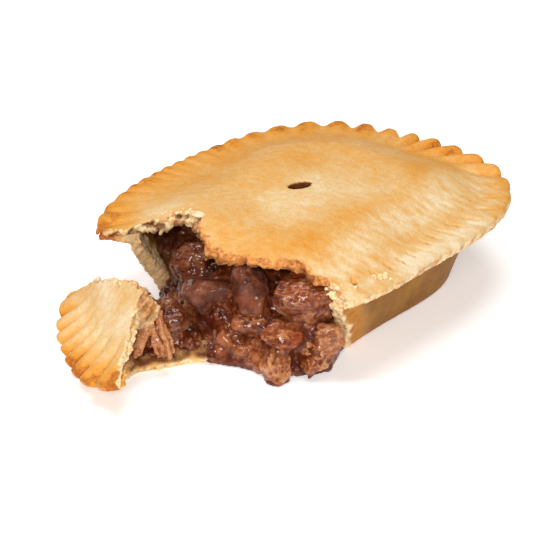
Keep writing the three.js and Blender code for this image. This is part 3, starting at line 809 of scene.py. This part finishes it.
class Look:
    def __init__(self, name):
        self.material = bpy.data.materials.new(name)
        self.material.use_nodes = True
        self.tree = self.material.node_tree
        self.shader = self.tree.nodes["Principled BSDF"]

    def add(self, kind, sockets=None, **settings):
        node = self.tree.nodes.new(kind)
        for key, value in settings.items():
            setattr(node, key, value)
        self.join(node, sockets or {})
        return node

    def join(self, node, sockets):
        for key, value in sockets.items():
            if isinstance(value, bpy.types.NodeSocket):
                self.tree.links.new(value, node.inputs[key])
            else:
                node.inputs[key].default_value = value

    def math(self, operation, a, b=0.0, clamp=False):
        return self.add("ShaderNodeMath", {0: a, 1: b}, operation=operation, use_clamp=clamp).outputs[0]

    # Sum of values, each by its share
    def total(self, *parts):
        whole = 0.0
        for value, share in parts:
            whole = self.math("ADD", whole, self.math("MULTIPLY", value, share))
        return whole

    # A value with a grain added to it, up to an amount each way
    def vary(self, value, grain, amount, clamp=False):
        return self.math("ADD", value, self.span(grain, 0.3, 0.7, -amount, amount), clamp)

    def value(self, name, kind="Fac"):
        return self.add("ShaderNodeAttribute", attribute_name=name).outputs[kind]

    def grain(self, scale, detail=3.0, rough=0.55, place=None, stretch=None):
        where = place or self.add("ShaderNodeTexCoord").outputs["Object"]
        if stretch:
            where = self.add("ShaderNodeMapping", {"Vector": where, "Scale": stretch}).outputs[0]
        sockets = {"Vector": where, "Scale": scale, "Detail": detail, "Roughness": rough}
        return self.add("ShaderNodeTexNoise", sockets).outputs["Fac"]

    def ramp(self, value, tones):
        node = self.add("ShaderNodeValToRGB", {0: value})
        items = node.color_ramp.elements
        while len(items) < len(tones):
            items.new(0.5)
        for item, (at, tone) in zip(items, tones):
            item.position = at
            item.color = colour(*tone)
        return node.outputs["Color"]

    def span(self, value, low, high, to_low=0.0, to_high=1.0):
        sockets = {"Value": value, "From Min": low, "From Max": high, "To Min": to_low, "To Max": to_high}
        return self.add("ShaderNodeMapRange", sockets).outputs["Result"]

    def mix(self, share, a, b):
        return self.add("ShaderNodeMix", {0: share, 6: a, 7: b}, data_type="RGBA").outputs[2]

    def bump(self, height, strength, distance, under=None):
        sockets = {"Height": height, "Strength": strength, "Distance": distance}
        if under:
            sockets["Normal"] = under
        return self.add("ShaderNodeBump", sockets).outputs["Normal"]

    def finish(self, base, rough, normal, **fixed):
        self.join(self.shader, {"Base Color": base, "Roughness": rough, "Normal": normal})
        self.join(self.shader, {key.replace("_", " "): value for key, value in fixed.items()})
        return self.material


def crust_look():
    look = Look("crust")
    patch = look.grain(60, 4, 0.6)
    fine = look.grain(420, 5, 0.65)
    speck = look.grain(1500, 3, 0.6)
    wrinkle = look.grain(200, 5, 0.7, stretch=(0.75, 1.2, 1))
    bake = look.value("bake")
    for grain, amount in ((patch, 0.1), (fine, 0.13), (speck, 0.06), (wrinkle, 0.08)):
        bake = look.vary(bake, grain, amount)
    tone = look.ramp(bake, CRUST_TONES)
    upright = look.grain(330, 4, 0.6, stretch=(1, 1, 0.16))
    wall = look.ramp(look.total((patch, 0.5), (upright, 0.2), (fine, 0.3)), WALL_TONES)
    tone = look.mix(look.value("wall"), tone, wall)
    tone = look.mix(look.span(speck, 0.6, 0.78, 0, 0.35), tone, colour(*SPECK))
    crumb = look.ramp(look.grain(800, 5, 0.7), CRUMB_TONES)
    toast = look.ramp(look.grain(900, 4, 0.7), TOAST_TONES)
    crumb = look.mix(look.value("toast"), crumb, toast)
    # Painted shade in the pits of torn crumb; on the loose crumbs, random flecks
    crumb = look.mix(look.span(look.value("pit_shade_and_flecks"), 0.55, 1.0, 0, 0.75), crumb, colour(*PIT_SHADE_AND_FLECK))
    tone = look.mix(look.value("torn"), tone, crumb)
    stain = look.ramp(look.grain(300, 4, 0.6), STAIN_TONES)
    soak = look.vary(look.value("stain"), fine, 0.2, clamp=True)
    soak = look.math("MULTIPLY", soak, look.span(look.value("stain"), 0.0, 0.2, 0, 1))
    tone = look.mix(soak, tone, stain)
    rough = look.span(fine, 0.3, 0.7, 0.4, 0.6)
    normal = look.bump(speck, 0.4, 0.0005)
    normal = look.bump(fine, 0.35, 0.001, normal)
    normal = look.bump(wrinkle, 0.3, 0.0012, normal)
    return look.finish(tone, rough, normal, Specular_IOR_Level=0.16)


def gravy_look():
    look = Look("gravy")
    share = look.vary(look.grain(110, 4, 0.6), look.grain(650, 5, 0.6), 0.11)
    # Painted shade in the hollows and painted highlight on the lumps of the gravy
    share = look.math("ADD", share, look.span(look.value("painted_relief_shade"), 0, 1, -0.16, 0.16))
    tone = look.ramp(share, GRAVY_TONES)
    # Painted shade in the hollow under the lid
    tone = look.mix(look.value("deep"), tone, colour(*GRAVY_PAINTED_SHADE))
    rough = look.span(look.grain(300, 3), 0.35, 0.65, 0.12, 0.36)
    normal = look.bump(look.grain(380, 4, 0.6), 0.4, 0.0013)
    normal = look.bump(look.grain(1200, 3, 0.6), 0.4, 0.0006, normal)
    return look.finish(tone, rough, normal, Coat_Weight=0.65, Coat_Roughness=0.1, Specular_IOR_Level=0.06)


def meat_look(name, tones, fibre, strength, wet):
    dark, middle, light, edge = tones
    look = Look(name)
    strands = look.grain(1.0, 4, 0.65, look.value("local", "Vector"), fibre)
    patch = look.grain(170, 4, 0.6)
    fine = look.grain(1100, 4, 0.6)
    share = look.total((strands, 0.45), (patch, 0.35), (fine, 0.2))
    # Painted shade in the creases and painted highlight on the crests of the meat
    share = look.math("ADD", share, look.span(look.value("painted_relief_shade"), 0, 1, -0.15, 0.13))
    tone = look.ramp(share, [(0.36, dark), (0.5, middle), (0.64, light)])
    warm = look.span(look.grain(90, 3, 0.6), 0.48, 0.64, 0, 0.7)
    tone = look.mix(warm, tone, colour(*edge))
    tone = look.mix(look.value("pale"), tone, colour(*light))
    # Painted shade: the pieces lying under the lids are darkened most toward the dark tone, the others by
    # less
    tone = look.mix(look.value("shade"), tone, colour(*dark))
    rough = look.span(look.grain(350, 3), 0.35, 0.65, 0.25, 0.5)
    normal = look.bump(strands, strength, 0.0012)
    normal = look.bump(look.grain(520, 5, 0.65), strength, 0.001, normal)
    normal = look.bump(fine, 0.45, 0.0005, normal)
    return look.finish(tone, rough, normal, Coat_Weight=wet, Coat_Roughness=0.1, Specular_IOR_Level=0.08)


CRUST = crust_look()
GRAVY = gravy_look()
STEAK = meat_look("steak", STEAK_TONES, (0.4, 1.1, 1.1), 0.7, 0.65)
KIDNEY = meat_look("kidney", KIDNEY_TONES, (0.25, 0.3, 0.3), 0.35, 0.32)


# Browning of the lid: pale round the slit and on the front right, deep gold at the rim and the corners, with
# painted shade in the valleys of the rope crimps and in the fork dents
def bake_of(x, y):
    inset, wave, edge = rim_inset(x, y)
    place = (x, y, 0 * x)
    left = ease(x, -18, -44)
    back = ease(y, 8, 53)
    right = ease(x, 18, 36)
    bake = 0.5 + mottle(place, LID_PATCHES) + right * (mottle(place, LID_STREAKS) - 0.2)
    for (px, py), (reach_x, reach_y), change in BAKE_SPOTS:
        bake = bake + change * bell((x - px) / reach_x, (y - py) / reach_y)
    bake = bake + 0.36 * rim_share(inset, 4.5) * most(left, back) + 0.06 * left + 0.05 * back
    band = ease(x, 12, 22) * ease(y, 52, 38)
    brush = 0.6 + mottle(place, LID_BRUSH)
    bake = bake + band * (0.14 * bell((inset - 30) / 5) + 0.14 * bell((inset - 12) / 3.6))
    bake = bake - 0.1 * band * brush * bell((inset - 21.5) / 5)
    bake = bake - 0.26 * right * ease(inset, 9, 4) * ease(y, 30, 10)
    # Crimp crests brown a little more; the valleys of the rope crimps and the fork dents are darkened as
    # painted shade
    rope = np.interp(np.arctan2(y, x), ANGLES, ROPE_SHARE) * (1 - ease(inset, 4, 9))
    bake = bake + 0.09 * wave * (1 - ease(inset, 3, 12)) + rope * (0.1 - 0.34 * wave)
    bake = bake + 0.22 * fork_dents(x, y, edge)
    return np.minimum(bake, 0.88)


# Breaks up torn faces into crumb, and says how deep each point lies in it, which darkens the pits as painted
# shade
def crumble(points, normals, torn, size, seed, local=None):
    place = points.T if local is None else local
    pits = mottle(place, PITS, seed)
    skin = mottle(place, SKIN, seed)
    moved = points + normals * (size * torn * pits + skin * (1 - torn))[:, None]
    return moved, np.clip(0.5 - 0.8 * pits, 0, 1)


def crust_piece(name, points, faces, nodes, bake, torn, stain, pit_shade_and_flecks, toast=0, wall=0):
    full = np.zeros_like(bake)
    values = dict(bake=bake, torn=torn, stain=stain, pit_shade_and_flecks=pit_shade_and_flecks, toast=full + toast, wall=full + wall)
    make_piece(name, points, faces, values, nodes, CRUST)


def lid_piece():
    block = Block(*LID_BOX)
    field = smooth_max(lid_field(*block.place), -slit_field(block.x, block.y), 0.3)
    field = smooth_max(field, (tear_face(*block.place) - block.y) * FACE_LEAN, 0.3)
    points, quads, normals = block.surface(field)
    x, y, z = points.T
    torn = ease(y - tear_face(x, y, z), 1.3, 0.4)
    inset = rim_inset(x, y)[0]
    top = RIM_TOP + lid_rise(inset)
    rim_edge = ease(inset, 1.2, 0.4) * right_side(x) * ease(z, top - 0.6, top - 1.4)
    clumps = 0.5 + 0.35 * ease(x, -4, -12) * ease(x, -38, -30)
    clumpy = torn * ease(x, -2, -8) * ease(x, -40, -34)
    lumpy = mottle((x, y, z), LID_CLUMPS)
    points, pit_shade_and_flecks = crumble(points, normals, most(torn, 0.6 * rim_edge), clumps, 61)
    points = points + normals * (1.5 * clumpy * lumpy)[:, None]
    below = ease(z, top - 1.6, top - 2.8) * ease(inset, 8, 12)
    in_slit = ease(slit_field(x, y), 0.9, 0.4) * ease(z, 38.2, 37.7)
    # Gravy soak on the lower half of the torn faces, darkened also as painted shade so the edge reads
    # thinner, and painted shade in the hollows of the clumps at the left
    soaked = torn * ease(z, top - 1.7, top - 2.9) * smooth(mottle((x, y, z), LID_SOAK) + 0.75)
    soak_and_hollow_shade = 0.85 * most(soaked * ease(x, -38, -33) * ease(x, 40, 36), clumpy * ease(lumpy, -0.12, -0.32))
    stain = most(below * (1 - 0.8 * torn), 1.2 * in_slit, soak_and_hollow_shade)
    middle = ease(x, -13, -8) * ease(x, 41, 36)
    patch = 0.8 * smooth(mottle((x, y, z), LID_TOAST) + 0.05)
    toast = most(0.9 * middle, patch, in_slit)
    corner = ease(x, -35, -39)
    torn = most(torn * (1 - 0.95 * corner), 0.8 * rim_edge, 0.8 * in_slit)
    crust_piece("lid_crust", points, quads, ["pastry_lid"], bake_of(x, y), torn, stain, pit_shade_and_flecks, toast)


def case_piece():
    block = Block(*CASE_BOX)
    face = tear_face(*block.place)
    field = smooth_max(case_field(*block.place), (face - block.y) * FACE_LEAN, 0.4)
    points, quads, normals = block.surface(field, 0)
    x, y, z = points.T
    past = y - tear_face(x, y, z)
    deep_in = past + mottle((x, y, z), CASE_DEPTHS)
    depth = rim_inset(x, y)[0] - along(OUTER_WALL, z)
    on_left = ease(x, -18, -22)
    near_tear = ease(past, 14, 4)
    inner_side = ease(depth, 1.5, 2.5) * on_left
    torn = most(ease(past, 1.5, 0.5), inner_side * ease(deep_in, 12, 9))
    inside = ease(depth, 1.8, 3.0) * ease(z, 2, 3.5) * ease(z, 28.4, 27.9)
    stain = inside * (1 - torn) * (1 - 0.85 * on_left)
    stain = most(stain, 0.75 * inner_side * ease(deep_in, 8, 14))
    at_corner = ease(x, -33, -37) * ease(z, 25, 26.5)
    bake = 0.35 + mottle((x, y, z), CASE_PATCHES) + 0.3 * ease(y, 10, 55) + 0.3 * ease(x, -20, -45)
    bake = bake + 0.5 * near_tear * ease(z, 27, 26) * ease(x, 10, 15) + 0.4 * at_corner
    wall = ease(z, 27.4, 26.6) * (1 - torn * on_left) * (1 - 0.6 * near_tear)
    points, pit_shade_and_flecks = crumble(points, normals, torn, 0.55 + 0.05 * on_left, 65)
    pit_shade_and_flecks = pit_shade_and_flecks * (1 - 0.9 * on_left)
    points[:, 2] = most(points[:, 2], 0)
    torn = torn * (1 - 0.05 * on_left) * (1 - 0.9 * at_corner)
    crust_piece("case_crust", points, quads, ["pastry_case"], bake, torn, stain, pit_shade_and_flecks, 0.25 * on_left, wall)


def meat_piece(name, chunk):
    kind = "kidney" if name.startswith("kidney") else "strip" if "strip" in name else "steak"
    reach = max(chunk.half) * 1.35 + 2
    block = Block([c - reach for c in chunk.at], [c + reach for c in chunk.at], MEAT_STEP)
    warps = [mottle(block.place, MEAT_WARP, chunk.seed + i) for i in range(3)]
    moved = [v + chunk.bend * warp for v, warp in zip(block.place, warps)]
    field = (strip_field if kind == "strip" else chunk_field)(chunk, *moved)
    points, quads, normals = block.surface(most(field, -block.z))
    local = chunk_local(chunk, *points.T)
    rough = mottle(local, MEAT_LUMPS[kind], chunk.seed)
    rough = chunk.grain * (rough + mottle(local, MEAT_CRESTS[kind], chunk.seed, crests=True))
    points = points + normals * rough[:, None]
    points[:, 2] = most(points[:, 2], MEAT_FLOOR)
    # How far each point stands out, for painted shade in the creases and painted highlight on the crests
    even, share = MEAT_PAINTED_RELIEF_SHADE[kind]
    values = {
        "local": np.stack(local, 1),
        "painted_relief_shade": np.clip(even + share * rough, 0, 1),
        "shade": np.full(len(points), chunk.shade),
        "pale": np.full(len(points), chunk.pale),
    }
    slot, look = ("kidney", KIDNEY) if kind == "kidney" else ("steak", STEAK)
    make_piece(name + "_meat", points, quads, values, [name], look)


# Bits of meat in the gravy: middle, radius, direction and half length of each
def scatter(heap, count, seed, sizes, lengths, low, high):
    rng = np.random.default_rng(seed)
    bits = []
    while len(bits) < count:
        x, y = rng.uniform(low, high)
        height = float(heap_height(np.array(x), np.array(y), heap))
        if height < 1.0:
            continue
        way = Vector(rng.normal(size=3)).normalized()
        size = rng.uniform(*sizes)
        place = (x, y, height - size * rng.uniform(0.1, 0.7))
        bits.append((place, size, tuple(way), rng.uniform(*lengths)))
    return bits


# Gravy lapping up the meat of the pie, or of its broken-off end
def lap_meat(block, field, of_end):
    for name, chunk in CHUNKS.items():
        if name.startswith("end") == of_end:
            field = smooth_min(field, chunk_field(chunk, *block.place) + chunk.cover, chunk.lap)
    return np.array(np.broadcast_to(field, block.shape))


def gravy_piece(name, block, field, node, seed):
    points, quads, normals = block.surface(field)
    x, y, z = points.T
    # Painted shade: gravy in the hollow under the lid, behind the first steak, is darkened, and roughened
    # there
    deep = 0.75 * ease(y, -45, -36) * ease(x, -2, -10) * ease(z, 6, 12)
    rough = mottle((x, y, z), GRAVY_ROUGH, seed) * (1 + 1.3 * deep)
    points = points + normals * rough[:, None]
    points[:, 2] = most(points[:, 2], GRAVY_FLOOR)
    # How far each point stands out, for painted shade in hollows and painted highlight on lumps
    values = {"painted_relief_shade": np.clip(0.5 + rough, 0, 1), "deep": deep}
    make_piece(name, points, quads, values, [node], GRAVY)


# Filling: packed inside and slumping out
def filling_piece():
    block = Block(*FILLING_BOX)
    x, y, z = block.place
    inset = rim_inset(x, y)[0]
    side = (along(INNER_WALL, z) + 0.5 - inset) * WALL_LEAN
    packed = most(side, WALL + GAP - z, z + GAP - lid_under(inset))
    packed = smooth_max(packed, packed_face(x, z) - y, 1.5)
    field = smooth_min(heap_field(block, SPILL), packed, 3.0)
    field = lap_meat(block, field, False)
    for *settings, blend in SPILL_BITS:
        block.add_bits(field, scatter(SPILL, *settings), blend)
    block.add_bits(field, [SPILL_LUMP], SPILL_LUMP_BLEND)
    field = most(field, -z)
    plug = smooth_max(np.abs(z - PLUG_AT) - PLUG_HALF, slit_field(x, y) + GAP, 0.4)
    field = np.minimum(field, plug)
    gone = tear_line(x, z) - 0.5 - y
    field = most(field, CLEAR - most(case_field(x, y, z), gone))
    gravy_piece("gravy", block, field, "filling", 71)


# Broken-off end: its lid, thicker where soaked crust hangs on
def end_lid_piece(block, lid, cut):
    field = most(smooth_max(lid, cut * FACE_LEAN, 0.3), -block.z)
    points, quads, normals = block.surface(field)
    y = points[:, 1]
    place = end_local(*points.T)
    qx, qy, qz = place
    from_x, from_y = qx - END_LUMP_AT[0], qy - END_LUMP_AT[1]
    torn = ease(qy - end_face(qx, qy, qz), -1.3, -0.4)
    soaked = bell(from_x / 10, from_y / 9) * torn
    inset, wave, _ = rim_inset(qx, qy)
    top = RIM_TOP + lid_rise(inset)
    below = ease(qz, top - 2.0, top - 3.2) * ease(inset, 9, 13)
    bake = 0.15 + 0.62 * rim_share(inset, 7.0) + mottle(place, END_PATCHES)
    # Painted shade: the valleys between the crimps of the end's lid are darkened
    bake = bake - 0.26 * wave * (1 - ease(inset, 3, 15))
    low_rim = bell(most(inset, 0) / 11) * ease(y, -75, -83)
    bake = np.minimum(bake + 0.4 * low_rim, 0.95)
    toast = np.clip(0.5 + mottle(place, END_TOAST), 0, 0.9) * bell(from_x / 12, from_y / 10)
    stain = most(below * (1 - torn), soaked * (0.3 + mottle(place, END_SOAK)))
    points = points + normals * (soaked * mottle(place, END_FLAKES))[:, None]
    points, pit_shade_and_flecks = crumble(points, normals, torn, 0.5, 81, place)
    crust_piece("end_lid_crust", points, quads, ["end_lid"], bake, torn, np.clip(stain, 0, 1), pit_shade_and_flecks, toast)


# Broken-off end: its lower rim, and the crust folded under it
def end_case_piece(block, local, lid, cut):
    field = smooth_min(most(flange_field(*local), cut), fold_field(*block.place), 1.5)
    field = smooth_min(field, ball_field(block.place, FOLD_CRUMB_AT, FOLD_CRUMB), 1.2)
    field = most(field, GAP - lid, -block.z)
    points, quads, normals = block.surface(field)
    place = points.T
    x, y, z = place
    qx, qy, _ = end_local(x, y, z)
    inset = rim_inset(qx, qy)[0]
    deep = ease(inset, 6, 10)
    on_crumb = bell((x - FOLD_CRUMB_AT[0]) / 2.4, (y - FOLD_CRUMB_AT[1]) / 2.2)
    torn_top = 2.6 + mottle(place, FOLD_TORN)
    torn = most(deep * ease(z, torn_top, torn_top - 1.0), on_crumb)
    lap = 1.9 - mottle(place, FOLD_LAP)
    stain = deep * ease(z, lap, lap + 1.6) * (0.88 + mottle(place, FOLD_SOAK))
    stain = np.clip(stain * (1 - 0.4 * on_crumb), 0, 1)
    bake = 0.42 + 0.2 * rim_share(inset, 6.0) + mottle(place, FOLD_PATCHES)
    points, pit_shade_and_flecks = crumble(points, normals, most(torn, 0.5 * deep), 0.45, 85)
    points[:, 2] = most(points[:, 2], 0)
    crust_piece("end_case_crust", points, quads, ["end_case"], bake, torn, stain, pit_shade_and_flecks, 0.5 * on_crumb)


# Broken-off end: filling wedged under its lid, the heap beside it, and a thin sheet on the folded crust
def end_gravy_piece(block, local, lid):
    lx, ly, lz = local
    inset = rim_inset(lx, ly)[0]
    wedge = most(lz - (lid_under(inset) - GAP), ly - (along(END_TEAR, lx) - WEDGE_SHORT))
    wedge = most(wedge, lx - WEDGE_RIGHT, WEDGE_INSET - inset, SEAM - WEDGE_DEEP - lz)
    field = smooth_min(heap_field(block, END_SPILL), wedge, 2.0)
    field = lap_meat(block, field, True)
    fold = fold_field(*block.place)
    _, far, out = fold_plan(*block.place)
    ragged = SHEET_SHARE * out + mottle(block.place, FOLD_SHEET)
    sheet = smooth_max(fold - SHEET_THICK, (far - ragged) * FACE_LEAN, 1.0)
    field = smooth_min(field, sheet, 2.0)
    for *settings, blend in END_SPILL_BITS:
        block.add_bits(field, scatter(END_SPILL, *settings), blend)
    field = most(field, CLEAR - lid, CLEAR - fold, -block.z)
    gravy_piece("end_gravy", block, field, "end_filling", 73)


def end_pieces():
    block = Block(*END_BOX)
    local = end_local(*block.place)
    lid = smooth_min(lid_field(*local), ball_field(local, END_LUMP_AT, END_LUMP), 1.0)
    cut = local[1] - end_face(*local)
    end_lid_piece(block, lid, cut)
    end_case_piece(block, local, lid, cut)
    end_gravy_piece(block, local, lid)


def lid_height(x, y):
    return float(lid_top(np.array(x), np.array(y))[0])


# Loose crumbs on the lid, and the flake beside the tear
def crumb_piece():
    rng = np.random.default_rng(9)
    ball = bmesh.new()
    bmesh.ops.create_icosphere(ball, subdivisions=2, radius=1.0)
    shape = np.array([v.co for v in ball.verts])
    sides = np.array([[v.index for v in f.verts] for f in ball.faces])
    ball.free()
    bodies = []
    for (px, py), spread, count, scale in HANDFULS:
        for _ in range(count):
            x, y = px + rng.normal() * spread, py + rng.normal() * spread * 0.5
            y = max(y, float(along(LID_TEAR, x)) + 0.8)
            size = scale * rng.uniform(0.3, 0.75)
            if rim_inset(np.array(x), np.array(y))[0] < 1.5:
                continue
            own = shape * rng.uniform(0.6, 1.2, 3) * size
            own = own * (1 + 0.45 * noise(*(shape * 1.3 + rng.uniform(0, 50, 3)).T, 91))[:, None]
            bodies.append(own + np.array([x, y, lid_height(x, y) + 0.1 * size]))
    flake = shape * FLAKE * (1 + 0.7 * noise(*(shape * 1.9).T, 93))[:, None]
    flake[:, 2] += FLAKE_TILT * (0.8 * flake[:, 1] - 0.6 * flake[:, 0])
    bodies.append(flake + np.array([*FLAKE_AT, lid_height(*FLAKE_AT) + 0.2]))
    points = np.vstack(bodies)
    faces = np.vstack([sides + i * len(shape) for i in range(len(bodies))])
    crumb = np.where(np.arange(len(points)) < len(points) - len(shape), 1.0, 0.0)
    # Random darker flecks on the loose crumbs, in the tone of the painted pit shade
    pit_shade_and_flecks = np.clip(0.3 - 0.6 * noise(*(points * 1.4).T, 92), 0, 1)
    bake = 0.06 + 0.14 * crumb
    crust_piece("loose_crumbs", points, faces, [], bake, 0.35 + 0.55 * crumb, 0 * crumb, pit_shade_and_flecks * 0.6)


lid_piece()
case_piece()
for name, chunk in CHUNKS.items():
    meat_piece(name, chunk)
filling_piece()
end_pieces()
crumb_piece()

# Floor
bpy.ops.mesh.primitive_plane_add(size=FLOOR_SIZE)
floor = bpy.context.object
floor.name = "floor"
paint = Look("floor")
paint.join(paint.shader, {
    "Base Color": (FLOOR_GREY, FLOOR_GREY, FLOOR_GREY, 1),
    "Roughness": FLOOR_ROUGH,
    "Specular IOR Level": 0.0,
    "Emission Color": (1, 1, 1, 1),
    "Emission Strength": FLOOR_GLOW,
})
floor.data.materials.append(paint.material)

# Light
world = bpy.data.worlds.new("studio")
world.use_nodes = True
world.node_tree.nodes["Background"].inputs["Color"].default_value = (1, 1, 1, 1)
world.node_tree.nodes["Background"].inputs["Strength"].default_value = SKY
bpy.context.scene.world = world
for name, (at, size, power) in LIGHTS.items():
    light = bpy.data.lights.new(name, "AREA")
    light.shape = "DISK"
    light.size = size
    light.energy = power
    lamp = bpy.data.objects.new(name, light)
    lamp.location = at
    lamp.rotation_euler = (Vector(LIGHT_AIM) - Vector(at)).to_track_quat("-Z", "Y").to_euler()
    bpy.context.collection.objects.link(lamp)

# Camera
turn = math.radians(CAMERA_TURN)
height = math.radians(CAMERA_HEIGHT)
back = Vector((math.sin(turn) * math.cos(height), -math.cos(turn) * math.cos(height), math.sin(height)))
lens = bpy.data.cameras.new("camera")
lens.sensor_width = SENSOR
lens.lens = SENSOR * FOCAL_PIXELS / PICTURE_PIXELS
lens.clip_end = CLIP_END
camera = bpy.data.objects.new("camera", lens)
bpy.context.collection.objects.link(camera)
camera.location = Vector(CAMERA_AIM) + back * CAMERA_AWAY
camera.rotation_euler = back.to_track_quat("Z", "Y").to_euler()
bpy.context.scene.camera = camera
bpy.context.scene.view_settings.view_transform = "Standard"
